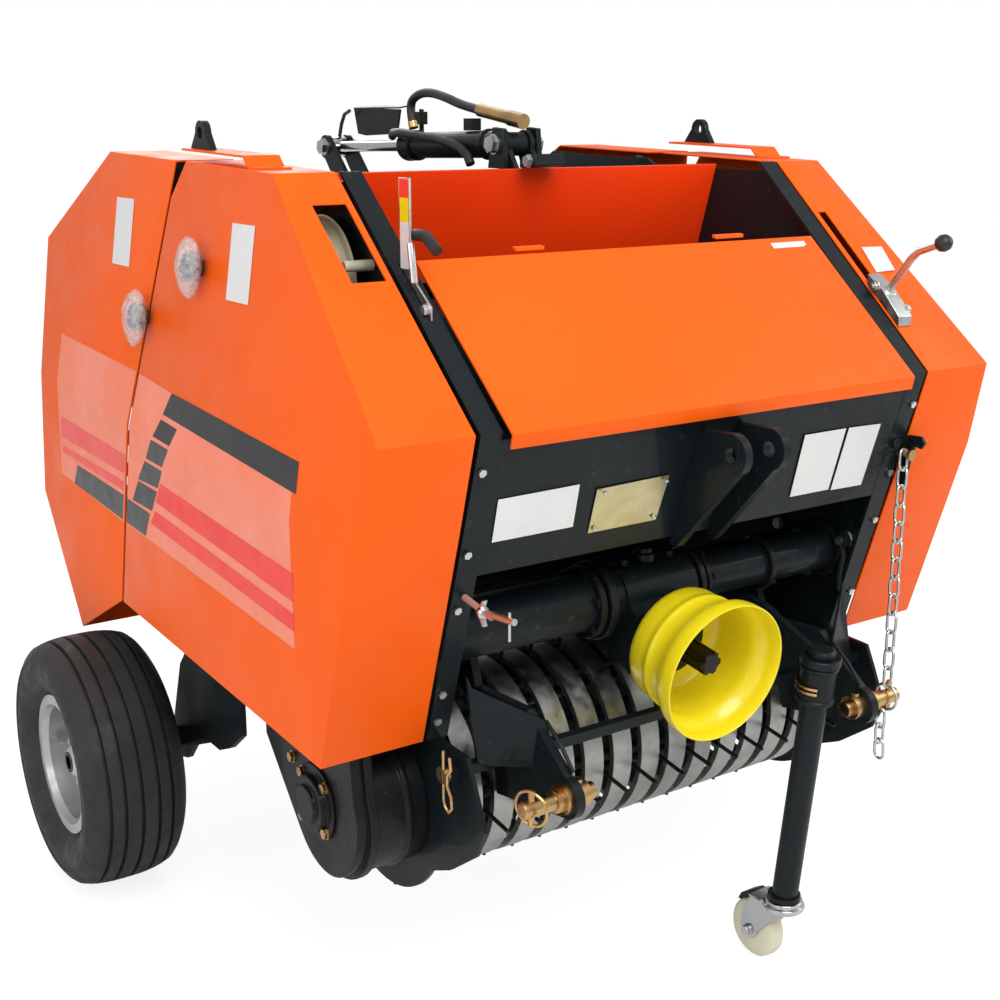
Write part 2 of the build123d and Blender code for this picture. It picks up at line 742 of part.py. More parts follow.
pto_shield.part.label = "pto_shield"
export_step(pto_shield.part.moved(to_middle), "parts/pto_shield.step")

# Parking jack: sleeve on a bracket plate, leg and swivelling caster
jack_lean = atan2(jack_foot[0] - jack_top[0], jack_top[1] - jack_foot[1])
jack_axis = Vector(0, sin(jack_lean), -cos(jack_lean))
jack_plane = Plane(origin=(jack_x, *jack_top), x_dir=(1, 0, 0), z_dir=jack_axis)
sleeve_length = 70.0
jack_length = hypot(jack_foot[0] - jack_top[0], jack_top[1] - jack_foot[1])
with BuildPart() as jack_sleeve:
    with BuildSketch(jack_plane):
        Circle(jack_sleeve_radius)
    extrude(amount=sleeve_length)
    with BuildSketch(across(jack_x + 2.0)):
        Polygon(
            (lower_beam_y, lower_beam_z),
            (lower_beam_y, lower_beam_z - 39.0),
            (jack_top[0] + 20.0, jack_top[1] - 55.0),
            (jack_top[0] + 15.0, jack_top[1] + 2.0),
            (drive_y - 40.0, drive_z - 48.0),
            align=None,
        )
    extrude(amount=10.0)
    with BuildSketch(jack_plane.offset(-2.0)):
        Circle(jack_leg_radius + seat_gap)
    extrude(amount=sleeve_length + 4.0, mode=Mode.SUBTRACT)
    with BuildSketch(across(jack_x - 10.0)):
        with Locations(tie_bar):
            Rectangle(tie_bar_size + 2 * seat_gap, tie_bar_size + 2 * seat_gap)
    extrude(amount=20.0, mode=Mode.SUBTRACT)
jack_sleeve.part.label = "jack_sleeve"
export_step(jack_sleeve.part.moved(to_middle), "parts/jack_sleeve.step")

caster_pin = (jack_foot[0] + 1.5, 0.0)
fork_plate = 3.0
fork_top_z = jack_foot[1] - 8.0
foot_plate = 7.0
with BuildPart() as jack_leg:
    with BuildSketch(jack_plane.offset(-4.0)):
        Circle(jack_leg_radius)
    extrude(amount=jack_length + 4.0)
    with BuildSketch(Plane.XY.offset(fork_top_z + seat_gap)):
        with Locations((jack_x, caster_pin[0])):
            Circle(jack_leg_radius + 5.0)
    extrude(amount=foot_plate)
jack_leg.part.label = "jack_leg"
export_step(jack_leg.part.moved(to_middle), "parts/jack_leg.step")

caster_axle = (caster_pin[0] + caster_trail, caster_radius)
fork_half = caster_width / 2 + 3.0
with BuildPart() as caster_fork:
    with BuildSketch(Plane.XY.offset(fork_top_z - 8.0)):
        with Locations((jack_x, caster_pin[0])):
            Circle(27.0)
    extrude(amount=8.0)
    for x in (jack_x - fork_half - fork_plate, jack_x + fork_half):
        with BuildSketch(across(x)):
            Polygon(
                (caster_pin[0] - 20.0, fork_top_z - 8.0),
                (caster_axle[0] - 9.0, caster_axle[1] - 5.0),
                (caster_axle[0] + 9.0, caster_axle[1] - 5.0),
                (caster_axle[0] + 6.0, fork_top_z - 20.0),
                (caster_pin[0] + 20.0, fork_top_z - 8.0),
                align=None,
            )
        extrude(amount=fork_plate)
    with BuildSketch(across(jack_x - fork_half - fork_plate - 4.0)):
        with Locations(caster_axle):
            Circle(5.0)
    extrude(amount=2 * (fork_half + fork_plate + 4.0))
caster_fork.part.label = "caster_fork"
export_step(caster_fork.part.moved(to_middle), "parts/caster_fork.step")

with BuildPart() as caster_wheel:
    with BuildSketch(across(jack_x - caster_width / 2)):
        with Locations(caster_axle):
            Circle(caster_radius)
            Circle(5.0 + running_gap, mode=Mode.SUBTRACT)
    extrude(amount=caster_width)
caster_wheel.part.label = "caster_wheel"
export_step(caster_wheel.part.moved(to_middle), "parts/caster_wheel.step")

# Pick-up bands: each a channel bent round the drum, with a leg back to a rail above and one below
band_first_angle = 84.0
band_last_angle = 300.0
band_rail = (10.0, 22.0)
lip_thick = 3.0


def drum_point(radius, angle):
    """Point around the pick-up axis, 0 degrees at the rear and 90 on top."""
    return (pickup_y + radius * cos(radians(angle)), pickup_z + radius * sin(radians(angle)))


def leg_end(radius, angle, length):
    """Point a length along the line that touches the drum at an angle."""
    touch = drum_point(radius, angle)
    return (touch[0] - length * sin(radians(angle)), touch[1] + length * cos(radians(angle)))


def band_section(radius, thick):
    """Sketch of a strip that runs down the upper leg, round the drum and up the lower leg."""
    with BuildSketch(across(0)) as section:
        with BuildLine():
            Line(leg_end(radius, band_first_angle, -band_leg), drum_point(radius, band_first_angle))
            ThreePointArc(
                drum_point(radius, band_first_angle), drum_point(radius, 180.0), drum_point(radius, band_last_angle)
            )
            Line(drum_point(radius, band_last_angle), leg_end(radius, band_last_angle, band_leg))
        trace(line_width=thick)
    return section.sketch


band_face = band_section(band_radius - band_sheet / 2, band_sheet)
lip_face = band_section(band_radius - band_lip / 2, band_lip)
with BuildPart() as pickup_bands:
    for index in range(band_count):
        x = (index - (band_count - 1) / 2) * band_pitch - band_width / 2
        add(extrude(band_face.moved(Location((x, 0, 0))), amount=band_width, dir=(1, 0, 0)))
        for edge in (x, x + band_width - lip_thick):
            add(extrude(lip_face.moved(Location((edge, 0, 0))), amount=lip_thick, dir=(1, 0, 0)))
    with BuildSketch(across(-chamber_half + seat_gap)):
        for angle, length in ((band_first_angle, -band_leg), (band_last_angle, band_leg)):
            with Locations(Location((*leg_end(band_radius - 6.0, angle, length), 0), (0, 0, angle))):
                Rectangle(*band_rail)
    extrude(amount=2 * (chamber_half - seat_gap))
pickup_bands.part.label = "pickup_bands"
export_step(pickup_bands.part.moved(to_middle), "parts/pickup_bands.step")

# Pick-up reel: shaft, end discs, four bars and the tines that reach out between the bands
reel_end = chamber_half - 12.0
reel_bars = 4
first_bar_angle = 8.0
with BuildPart() as pickup_reel:
    with BuildSketch(across(-chamber_half - side_plate - 4.0)):
        with Locations((pickup_y, pickup_z)):
            Circle(hub_bore - running_gap)
    extrude(amount=2 * (chamber_half + side_plate + 4.0))
    for x in (-reel_end, reel_end - 5.0):
        with BuildSketch(across(x)):
            with Locations((pickup_y, pickup_z)):
                Circle(reel_bar_ring + 12.0)
        extrude(amount=5.0)
    with BuildSketch(across(-reel_end)):
        with Locations((pickup_y, pickup_z)):
            with PolarLocations(reel_bar_ring, reel_bars, start_angle=first_bar_angle):
                Circle(8.0)
    extrude(amount=2 * reel_end)
    for index in range(band_count + 1):
        x = (index - band_count / 2) * band_pitch
        for bar in range(reel_bars):
            turn = radians(first_bar_angle + bar * 360.0 / reel_bars)
            foot = Vector(x, pickup_y + reel_bar_ring * cos(turn), pickup_z + reel_bar_ring * sin(turn))
            out = Vector(0, cos(turn), sin(turn))
            with BuildSketch(Plane(origin=foot, x_dir=(1, 0, 0), z_dir=out)):
                RegularPolygon(tine_radius, 6)
            extrude(amount=tine_tip_radius - reel_bar_ring)
pickup_reel.part.label = "pickup_reel"
export_step(pickup_reel.part.moved(to_middle), "parts/pickup_reel.step")

# Axle brackets: a plate outside each side plate on a spacer block, with the stub axle
bracket_plate = 10.0
axle_plate_half = chamber_half + side_plate + 38.0
axle_outline = [
    (70.0, 440.0),
    (222.0, 440.0),
    (310.0, 344.0),
    (wheel_y + 21.0, tyre_radius + 17.0),
    (wheel_y + 17.0, tyre_radius - 17.0),
    (wheel_y - 10.0, tyre_radius - 35.0),
    (wheel_y - 35.0, tyre_radius - 28.0),
    (269.0, 211.0),
    (194.0, 244.0),
    (159.0, 244.0),
    (117.0, 263.0),
    (70.0, 300.0),
]
stub_end = wheel_half_track + 50.0
with BuildPart() as axle_bracket:
    with BuildSketch(across(axle_plate_half)):
        Polygon(*axle_outline, align=None)
    extrude(amount=bracket_plate)
    with BuildSketch(across(chamber_half + side_plate + seat_gap)):
        with Locations((148.0, belly_z + 20.0)):
            Rectangle(135.0, 36.0)
    extrude(amount=axle_plate_half - chamber_half - side_plate - seat_gap)
    with BuildSketch(across(axle_plate_half)):
        with Locations((wheel_y, tyre_radius)):
            Circle(hub_bore - running_gap)
    extrude(amount=stub_end - axle_plate_half)
for side, part in (("right", axle_bracket.part), ("left", mirror(axle_bracket.part, about=Plane.YZ))):
    part.label = f"axle_bracket_{side}"
    export_step(part.moved(to_middle), f"parts/axle_bracket_{side}.step")

# Wheels: pressed rim with its hub, and a ribbed tyre
half_tyre = tyre_width / 2
rim_half = 62.0
bead_radius = 100.0
with BuildPart() as wheel_rim:
    with BuildSketch(Plane.XY.offset(tyre_radius)):
        with BuildLine():
            Polyline(
                (wheel_half_track - rim_half, wheel_y + bead_radius),
                (wheel_half_track - rim_half, wheel_y + rim_radius),
                (wheel_half_track - rim_half + 6.0, wheel_y + rim_radius),
                (wheel_half_track - rim_half + 8.0, wheel_y + bead_radius - seat_gap),
                (wheel_half_track + rim_half - 8.0, wheel_y + bead_radius - seat_gap),
                (wheel_half_track + rim_half - 6.0, wheel_y + rim_radius),
                (wheel_half_track + rim_half, wheel_y + rim_radius),
                (wheel_half_track + rim_half, wheel_y + bead_radius),
                (wheel_half_track + rim_half - 10.0, wheel_y + bead_radius - 6.0),
                (wheel_half_track + 20.0, wheel_y + bead_radius - 8.0),
                (wheel_half_track + 14.0, wheel_y + 40.0),
                (wheel_half_track + 32.0, wheel_y + 34.0),
                (wheel_half_track + 32.0, wheel_y + hub_bore),
                (wheel_half_track - 40.0, wheel_y + hub_bore),
                (wheel_half_track - 40.0, wheel_y + 30.0),
                (wheel_half_track + 8.0, wheel_y + 36.0),
                (wheel_half_track + 12.0, wheel_y + bead_radius - 14.0),
                (wheel_half_track - rim_half + 10.0, wheel_y + bead_radius - 6.0),
                close=True,
            )
        make_face()
    revolve(axis=Axis((0, wheel_y, tyre_radius), (1, 0, 0)))
with BuildPart() as wheel_tyre:
    with BuildSketch(Plane.XY.offset(tyre_radius)):
        with BuildLine():
            Polyline(
                (wheel_half_track - rim_half + 8.5, wheel_y + bead_radius),
                (wheel_half_track - rim_half + 6.5, wheel_y + rim_radius + 2.0),
                (wheel_half_track - half_tyre, wheel_y + 150.0),
                (wheel_half_track - half_tyre + 6.0, wheel_y + 180.0),
                (wheel_half_track - half_tyre + 24.0, wheel_y + 200.0),
                (wheel_half_track - 30.0, wheel_y + tyre_radius),
                (wheel_half_track + 30.0, wheel_y + tyre_radius),
                (wheel_half_track + half_tyre - 24.0, wheel_y + 200.0),
                (wheel_half_track + half_tyre - 6.0, wheel_y + 180.0),
                (wheel_half_track + half_tyre, wheel_y + 150.0),
                (wheel_half_track + rim_half - 6.5, wheel_y + rim_radius + 2.0),
                (wheel_half_track + rim_half - 8.5, wheel_y + bead_radius),
                close=True,
            )
        make_face()
    revolve(axis=Axis((0, wheel_y, tyre_radius), (1, 0, 0)))
for name, whole in (("wheel_rim", wheel_rim.part), ("wheel_tyre", wheel_tyre.part)):
    for side, part in (("right", whole), ("left", mirror(whole, about=Plane.YZ))):
        part.label = f"{name}_{side}"
        export_step(part.moved(to_middle), f"parts/{name}_{side}.step")

# Raised plates on the roof of the front covers, reaching over the V cut
roof_plate_inner = cover_roof_half - 54.0
roof_plate_width = 50.0
roof_plate_rise = 15.0
roof_plate_sheet = 3.0


def roof_point(y, rise):
    """Point a rise above the covers' roof line, at length y."""
    return (y, height(roof_front, roof_rear, y) + rise)


with BuildPart() as roof_plates:
    with BuildSketch(across(roof_plate_inner)):
        with BuildLine():
            Polyline(
                roof_point(-186.0, roof_plate_sheet / 2 + seat_gap),
                roof_point(-164.0, roof_plate_sheet / 2 + seat_gap),
                roof_point(-150.0, roof_plate_rise),
                roof_point(48.0, roof_plate_rise),
            )
        trace(line_width=roof_plate_sheet)
    extrude(amount=roof_plate_width)
    mirror(about=Plane.YZ)
roof_plates.part.label = "roof_plates"
export_step(roof_plates.part.moved(to_middle), "parts/roof_plates.step")

# Lifting eyes standing on the roof plates
lifting_eye_half = cover_roof_half - 25.0
eye_thick = 10.0
eye_centre = (9.0, 1208.0)
eye_ring = 16.0
eye_bore = 8.0
eye_seat = roof_plate_rise + roof_plate_sheet / 2 + seat_gap
with BuildPart() as lifting_eyes:
    with BuildSketch(across(lifting_eye_half)):
        Polygon(
            roof_point(-23.0, eye_seat),
            roof_point(42.0, eye_seat),
            (eye_centre[0] + eye_ring, eye_centre[1]),
            (eye_centre[0] - eye_ring, eye_centre[1]),
            align=None,
        )
        with Locations(eye_centre):
            Circle(eye_ring)
            Circle(eye_bore, mode=Mode.SUBTRACT)
    extrude(amount=eye_thick)
    mirror(about=Plane.YZ)
lifting_eyes.part.label = "lifting_eyes"
export_step(lifting_eyes.part.moved(to_middle), "parts/lifting_eyes.step")

# Drive case at the left end of the pick-up, with its guard drum, bearing housing and shaft cap
case_outline = [
    (-135.0, 405.0),
    (-164.0, 378.0),
    (-238.0, 289.0),
    (-292.0, 262.0),
    (-354.0, 258.0),
    (-393.0, 277.0),
    (-439.0, 312.0),
    (-427.0, 332.0),
    (-397.0, 401.0),
    (-367.0, 436.0),
    (-408.0, 453.0),
    (-408.0, 515.0),
    (-135.0, 515.0),
]
case_inner_half = chamber_half + side_plate + 40.0
case_width = 64.0
case_start = chamber_half + side_plate + seat_gap
with BuildPart() as drive_case:
    with BuildSketch(across(-case_inner_half)):
        Polygon(*case_outline, align=None)
    extrude(amount=-case_width)
    with BuildSketch(across(-case_start)):
        with Locations((pickup_y, pickup_z)):
            Circle(95.0)
    extrude(amount=case_start - case_inner_half)
    for start, depth, radius in ((case_width, 14.0, 37.0), (case_width + 14.0, 12.0, 21.0)):
        with BuildSketch(across(-case_inner_half - start)):
            with Locations((pickup_y - 10.0, pickup_z - 2.0)):
                Circle(radius)
        extrude(amount=-depth)
    with BuildSketch(across(-case_start)):
        with Locations((pickup_y, pickup_z)):
            Circle(hub_bore + 6.0)
    extrude(amount=-12.0, mode=Mode.SUBTRACT)
drive_case.part.label = "drive_case"
export_step(drive_case.part.moved(to_middle), "parts/drive_case.step")

# Nylon twine wheel behind the left cover's window, and the short shaft ahead of it
twine_centre = (-187.0, 1022.0)
twine_shaft = (-293.0, 1052.0)
with BuildPart() as twine_wheel:
    for start, depth, radius in ((0.0, 36.0, 14.0), (8.0, 4.0, 86.0), (12.0, 16.0, 74.0), (28.0, 4.0, 86.0)):
        with BuildSketch(across(-case_start - start)):
            with Locations(twine_centre):
                Circle(radius)
        extrude(amount=-depth)
    with BuildSketch(across(-case_start)):
        with Locations(twine_shaft):
            Circle(7.0)
    extrude(amount=-40.0)
twine_wheel.part.label = "twine_wheel"
export_step(twine_wheel.part.moved(to_middle), "parts/twine_wheel.step")

# Bale gauge standing on the left flange
gauge_half = chamber_half + 4.0
gauge_top_z = 1160.0


def slope_point(y, rise):
    """Point a rise above the body's front slope, at length y."""
    return (y, height(roof_front, nose, y) + rise)


with BuildPart() as bale_gauge:
    with BuildSketch(across(-gauge_half)):
        Polygon(
            slope_point(-350.0, 0.5),
            (-350.0, gauge_top_z),
            (-386.0, gauge_top_z),
            slope_point(-386.0, 14.0),
            slope_point(-431.0, 14.0),
            slope_point(-431.0, 0.5),
            align=None,
        )
    extrude(amount=-4.0)
bale_gauge.part.label = "bale_gauge"
export_step(bale_gauge.part.moved(to_middle), "parts/bale_gauge.step")

# Engaging lever in its clamp on the right cover's slope
lever_half = cover_inner_half + 14.0
lever_route = [slope_point(-462.0, 6.0), (-506.0, 1043.0), (-543.0, 1058.0)]
lever_radius = 6.0
with BuildPart() as engage_lever:
    with BuildSketch(across(lever_half - 12.0)):
        Polygon(
            slope_point(-434.0, 0.5),
            slope_point(-434.0, 14.0),
            slope_point(-495.0, 14.0),
            slope_point(-495.0, 0.5),
            align=None,
        )
    extrude(amount=24.0)
    with BuildLine(across(lever_half)):
        rod_line = FilletPolyline(*lever_route, radius=20.0)
    with BuildSketch(Plane(origin=rod_line @ 0, z_dir=rod_line % 0)):
        Circle(lever_radius)
    sweep()
    with Locations((lever_half, -551.0, 1061.0)):
        Sphere(13.0)
engage_lever.part.label = "engage_lever"
export_step(engage_lever.part.moved(to_middle), "parts/engage_lever.step")

# Threaded tension rod with its wing nut, standing out of the left flange
tension_half = chamber_half + 5.0
tension_z = 674.0
tension_radius = 6.0
tension_y = between(nose, front_foot, tension_z + tension_radius) - seat_gap
with BuildPart() as tension_rod:
    for start, length, radius in ((0.0, 106.0, tension_radius), (34.0, 14.0, 11.0)):
        with BuildSketch(Plane.XZ.offset(-tension_y + start)):
            with Locations((-tension_half, tension_z)):
                Circle(radius)
        extrude(amount=length)
    with BuildSketch(Plane.XZ.offset(-tension_y + 38.0)):
        with Locations((-tension_half, tension_z)):
            Rectangle(54.0, 12.0)
    extrude(amount=4.0)
tension_rod.part.label = "tension_rod"
export_step(tension_rod.part.moved(to_middle), "parts/tension_rod.step")

# Film-wrapped knobs that hold the covers
knob_shape = ((0.0, 7.0, 12.0), (7.0, 17.0, 20.0))
for body, seat in (("front", (-58.0, 1036.0)), ("gate", (116.0, 952.0))):
    with BuildPart() as cover_knobs:
        for start, depth, radius in knob_shape:
            with BuildSketch(lean_seat(*seat).offset(start)):
                Circle(radius)
            extrude(amount=depth)
        mirror(about=Plane.YZ)
    cover_knobs.part.label = f"{body}_knobs"
    export_step(cover_knobs.part.moved(to_middle), f"parts/{body}_knobs.step")

# Chain hook on the right flange, and the chain from it to a ring round the right hitch pin
hook_half = flange_outer_half - 4.6
hook_radius = 4.0
hook_z = 765.6
hook_y = between(nose, front_foot, hook_z + hook_radius) - seat_gap
with BuildPart() as chain_hook:
    for start, length, radius in ((0.0, 26.0, hook_radius), (22.0, 4.0, 8.0)):
        with BuildSketch(Plane.XZ.offset(-hook_y + start)):
            with Locations((hook_half, hook_z)):
                Circle(radius)
        extrude(amount=length)
chain_hook.part.label = "chain_hook"
export_step(chain_hook.part.moved(to_middle), "parts/chain_hook.step")

chain_bar = 4.5
chain_link_width = 20.0
chain_links = 13
ring_inner = 17.0
ring_x = hitch_arm_x + 52.0
ring_z = hitch_pin[1]
chain_top = Vector(hook_half, hook_y - 10.0, hook_z + hook_radius + 0.6)
chain_foot = Vector(ring_x, hitch_pin[0], ring_z + ring_inner - 0.4)
chain_run = chain_foot - chain_top
chain_down = chain_run.normalized()
chain_pitch = (chain_run.length - seat_gap) / chain_links
link_inner = chain_pitch + seat_gap
across_chain = (Vector(0, 1, 0) - chain_down * chain_down.Y).normalized()
with BuildPart() as pin_chain:
    for index in range(chain_links):
        centre = chain_top + chain_down * (link_inner / 2 + index * chain_pitch)
        facing = across_chain if index % 2 == 0 else chain_down.cross(across_chain)
        link_plane = Plane(origin=centre, x_dir=chain_down, z_dir=facing)
        with BuildSketch(link_plane.offset(-chain_bar / 2)):
            SlotOverall(link_inner + 2 * chain_bar, chain_link_width)
            SlotOverall(link_inner, chain_link_width - 2 * chain_bar, mode=Mode.SUBTRACT)
        extrude(amount=chain_bar)
    with BuildSketch(across(ring_x - chain_bar / 2)):
        with Locations((hitch_pin[0], ring_z)):
            Circle(ring_inner + chain_bar)
            Circle(ring_inner, mode=Mode.SUBTRACT)
    extrude(amount=chain_bar)
pin_chain.part.label = "pin_chain"
export_step(pin_chain.part.moved(to_middle), "parts/pin_chain.step")

# Hydraulic hose over the cylinder: out of the gland end, round and forward to its coupler
hose_diameter = 14.0
hose_route = [
    (203.0, 1220.0),
    (213.0, 1246.0),
    (190.0, 1262.0),
    (152.0, 1266.0),
    (104.0, 1258.0),
    (55.0, 1245.0),
    (6.0, 1238.0),
]


def bend_radii(route):
    """Radius of each bend: its tangents take 0.45 of the shorter run beside it."""
    radii = []
    for (y0, z0), (y1, z1), (y2, z2) in zip(route, route[1:], route[2:]):
        turn = atan2(z2 - z1, y2 - y1) - atan2(z1 - z0, y1 - y0)
        turn = abs(atan2(sin(turn), cos(turn)))
        radii.append(0.45 * min(hypot(y1 - y0, z1 - z0), hypot(y2 - y1, z2 - z1)) / tan(turn / 2))
    return radii


hose_radii = bend_radii(hose_route)
print("hose radii", [round(radius, 1) for radius in hose_radii])
with BuildPart() as lift_hose:
    with BuildLine(across(0)):
        hose_line = FilletPolyline(*hose_route, radius=hose_radii)
    with BuildSketch(Plane(origin=hose_line @ 0, z_dir=hose_line % 0)):
        Circle(hose_diameter / 2)
    sweep()
lift_hose.part.label = "lift_hose"
export_step(lift_hose.part.moved(to_middle), "parts/lift_hose.step")

# Nipple on the barrel's gland and the coupler at the hose's free end
nipple_length = 10.0
hose_start = Plane(origin=hose_line @ 0, z_dir=(hose_line % 0) * -1)
hose_stop = Plane(origin=hose_line @ 1, z_dir=hose_line % 1)
with BuildPart() as hose_fittings:
    with BuildSketch(hose_start):
        Circle(8.0)
    extrude(amount=nipple_length)
    for start, length, radius in ((0.0, 82.0, 9.5), (82.0, 34.0, 11.0)):
        with BuildSketch(hose_stop.offset(start)):
            Circle(radius)
        extrude(amount=length)
hose_fittings.part.label = "hose_fittings"
export_step(hose_fittings.part.moved(to_middle), "parts/hose_fittings.step")
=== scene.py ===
# %% [markdown]
# # Dressing a mini round baler
# The machine comes as a packed assembly of plain solids, each on the body that moves it. This lesson gives
# those solids their finish and adds what is too fine for them: rounded sheet edges, tyre tread, stripes,
# bolts and clips. Nothing is moved, because the solids already stand where the real pieces are.
# X runs across the machine, -Y is the hitch end, +Z is up, and Blender works in metres.

import json
from math import cos, pi, radians, sin

import bmesh
import bpy
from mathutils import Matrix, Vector


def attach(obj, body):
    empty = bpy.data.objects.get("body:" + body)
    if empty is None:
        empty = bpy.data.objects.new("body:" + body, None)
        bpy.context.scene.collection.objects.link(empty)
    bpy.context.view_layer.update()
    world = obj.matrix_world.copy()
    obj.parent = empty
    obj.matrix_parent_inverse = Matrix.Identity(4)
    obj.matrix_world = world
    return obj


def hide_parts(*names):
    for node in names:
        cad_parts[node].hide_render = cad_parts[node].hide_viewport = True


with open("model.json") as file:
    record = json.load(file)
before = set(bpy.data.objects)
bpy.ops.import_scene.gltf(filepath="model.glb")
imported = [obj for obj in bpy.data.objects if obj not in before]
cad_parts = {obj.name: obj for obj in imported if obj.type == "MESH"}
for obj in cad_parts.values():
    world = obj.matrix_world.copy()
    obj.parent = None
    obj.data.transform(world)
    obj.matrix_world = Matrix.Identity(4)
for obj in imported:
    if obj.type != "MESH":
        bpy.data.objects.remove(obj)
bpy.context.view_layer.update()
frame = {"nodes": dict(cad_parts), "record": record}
mm = 0.001
body_of = {node: body for body, nodes in frame["record"]["behaviour"]["bodies"].items() for node in nodes}
slot_of = {part["node"]: part["material_slot"] for part in frame["record"]["subparts"]}


def new_object(name, data):
    """Object with this data, in the scene."""
    thing = bpy.data.objects.new(name, data)
    bpy.context.scene.collection.objects.link(thing)
    return thing


# %% [markdown]
# ## The camera
# The photo was taken from the front left, a little above the roof. Its place was worked out from points
# that mirror each other on the machine. The camera stands where the photographer stood, and it comes first.

# %% Put the camera where the photographer stood
camera_place = Vector((-1.24134, -1.86541, 1.23134))
camera_azimuth = radians(-34.0862)
camera_tilt = radians(90 - 14.8186)
camera_data = bpy.data.cameras.new("photographer")
camera_data.lens = 52.44
camera_data.sensor_width = 36.0
camera = new_object("photographer", camera_data)
camera.location = camera_place
camera.rotation_euler = (camera_tilt, 0.0, camera_azimuth)
bpy.context.scene.camera = camera
machine_middle = (0.0, 0.0, 0.6)
print("camera", round((camera_place - Vector(machine_middle)).length, 2), "m from the machine's middle")

# %% [markdown]
# ## Light and floor
# The photo shows the machine cut out on white, lit softly from above and in front. A large soft lamp over
# the nose and a weaker one at each side do that, and a pale world fills the shadows. The floor shows white
# to the camera but keeps the machine's shadow, because the camera's rays see a brighter version of it.

# %% Hang the lamps and set the world
view = bpy.context.scene.view_settings
view.view_transform = "Standard"


def area_lamp(name, place, target, size, watts):
    """Soft square lamp that points at a target."""
    data = bpy.data.lights.new(name, "AREA")
    data.size = size
    data.energy = watts
    lamp = new_object(name, data)
    lamp.location = place
    lamp.rotation_euler = (Vector(target) - Vector(place)).to_track_quat("-Z", "Y").to_euler()


lamp_table = (
    # name, place, size, watts
    ("lamp_over_nose", (-0.6, -2.6, 3.4), 2.4, 96.0),
    ("lamp_left", (-3.4, -0.6, 1.9), 2.0, 27.0),
    ("lamp_right", (3.2, -1.6, 2.2), 2.0, 27.0),
    ("lamp_rear", (0.8, 3.4, 2.6), 2.0, 34.0),
)
for name, place, size, watts in lamp_table:
    area_lamp(name, place, machine_middle, size, watts)

world = bpy.data.worlds.new("studio")
bpy.context.scene.world = world
world.use_nodes = True
sky = world.node_tree
fill_strength = 0.55
rays = sky.nodes.new("ShaderNodeLightPath")
seen = sky.nodes.new("ShaderNodeMath")
seen.operation = "MAXIMUM"
sky.links.new(rays.outputs["Is Camera Ray"], seen.inputs[0])
sky.links.new(rays.outputs["Is Transmission Ray"], seen.inputs[1])
strength = sky.nodes.new("ShaderNodeMapRange")
strength.inputs["To Min"].default_value = fill_strength
strength.inputs["To Max"].default_value = 1.0
sky.links.new(seen.outputs[0], strength.inputs["Value"])
sky.nodes["Background"].inputs["Color"].default_value = (1, 1, 1, 1)
sky.links.new(strength.outputs[0], sky.nodes["Background"].inputs["Strength"])
print("hung", len(lamp_table), "lamps")

# %% [markdown]
# ## Finishes
# Every finish here is worked out from the place of a point on the machine, so that it needs no picture.
# Shader maths is written as plain sums: a small class wraps one socket, and + and * on it add Math nodes.

# %% A socket that can be added and multiplied
class Value:
    """One output socket of a finish. Each sum on it adds one Math node."""

    def __init__(self, finish, socket):
        self.finish = finish
        self.socket = socket

    def sum(self, operation, first, second=0.0):
        return self.finish.add("ShaderNodeMath", {"operation": operation}, {0: first, 1: second})

    def __add__(self, other):
        return self.sum("ADD", self, other)

    __radd__ = __add__

    def __mul__(self, other):
        return self.sum("MULTIPLY", self, other)

    __rmul__ = __mul__


class Finish:
    """A material being made: one Principled shader and the nodes that feed it."""

    def __init__(self, name, colour, roughness, metallic=0.0, coat=0.0):
        self.material = bpy.data.materials.new(name)
        self.material.use_nodes = True
        self.material.diffuse_color = (*colour, 1.0)
        self.tree = self.material.node_tree
        self.shader = self.tree.nodes["Principled BSDF"]
        self.colour = (*colour, 1.0)
        self.feed(self.shader, {"Base Color": self.colour, "Roughness": roughness, "Metallic": metallic})
        self.feed(self.shader, {"Coat Weight": coat, "Coat Roughness": 0.06})

    def feed(self, node, sockets):
        """Gives a node's sockets their values or links."""
        for key, item in sockets.items():
            if isinstance(item, Value):
                self.tree.links.new(item.socket, node.inputs[key])
            else:
                node.inputs[key].default_value = item

    def add(self, kind, settings=None, sockets=None, output=0):
        """Adds any node: its settings first, then its sockets. Gives one of its outputs."""
        node = self.tree.nodes.new(kind)
        for name, setting in (settings or {}).items():
            setattr(node, name, setting)
        self.feed(node, sockets or {})
        return Value(self, node.outputs[output])

    def place(self):
        """Where the point lies on the machine, in metres."""
        return self.add("ShaderNodeTexCoord", output=3)

    def noise(self, scale, detail=3.0, rough=0.55):
        """Cloudy values from 0 to 1, with about scale clouds to the metre."""
        sockets = {"Vector": self.place(), "Scale": scale, "Detail": detail, "Roughness": rough}
        return self.add("ShaderNodeTexNoise", {}, sockets)

    def range(self, value, low, high, out_low=0.0, out_high=1.0):
        """Maps low..high to out_low..out_high and stops at both ends."""
        ends = {"Value": value, "From Min": low, "From Max": high, "To Min": out_low, "To Max": out_high}
        return self.add("ShaderNodeMapRange", {}, ends)

    def mix(self, factor, first, second):
        """Colour between two colours."""
        return self.add("ShaderNodeMix", {"data_type": "RGBA"}, {0: factor, 6: first, 7: second}, 2)

    def bump(self, height, strength, distance):
        """Feeds the shader's normal from a height."""
        sockets = {"Height": height, "Strength": strength, "Distance": distance}
        self.feed(self.shader, {"Normal": self.add("ShaderNodeBump", {}, sockets)})


print("finish tools ready")

# %% [markdown]
# ## Orange powder coat
# The covers are folded sheet with a thick powder coat. It is never quite flat: powder coat has a fine orange
# peel, and workshop dust dulls it in soft patches. Four noises do that: a broad one for the shade, one for
# the gloss, one for specks of dust and a fine one for the peel.

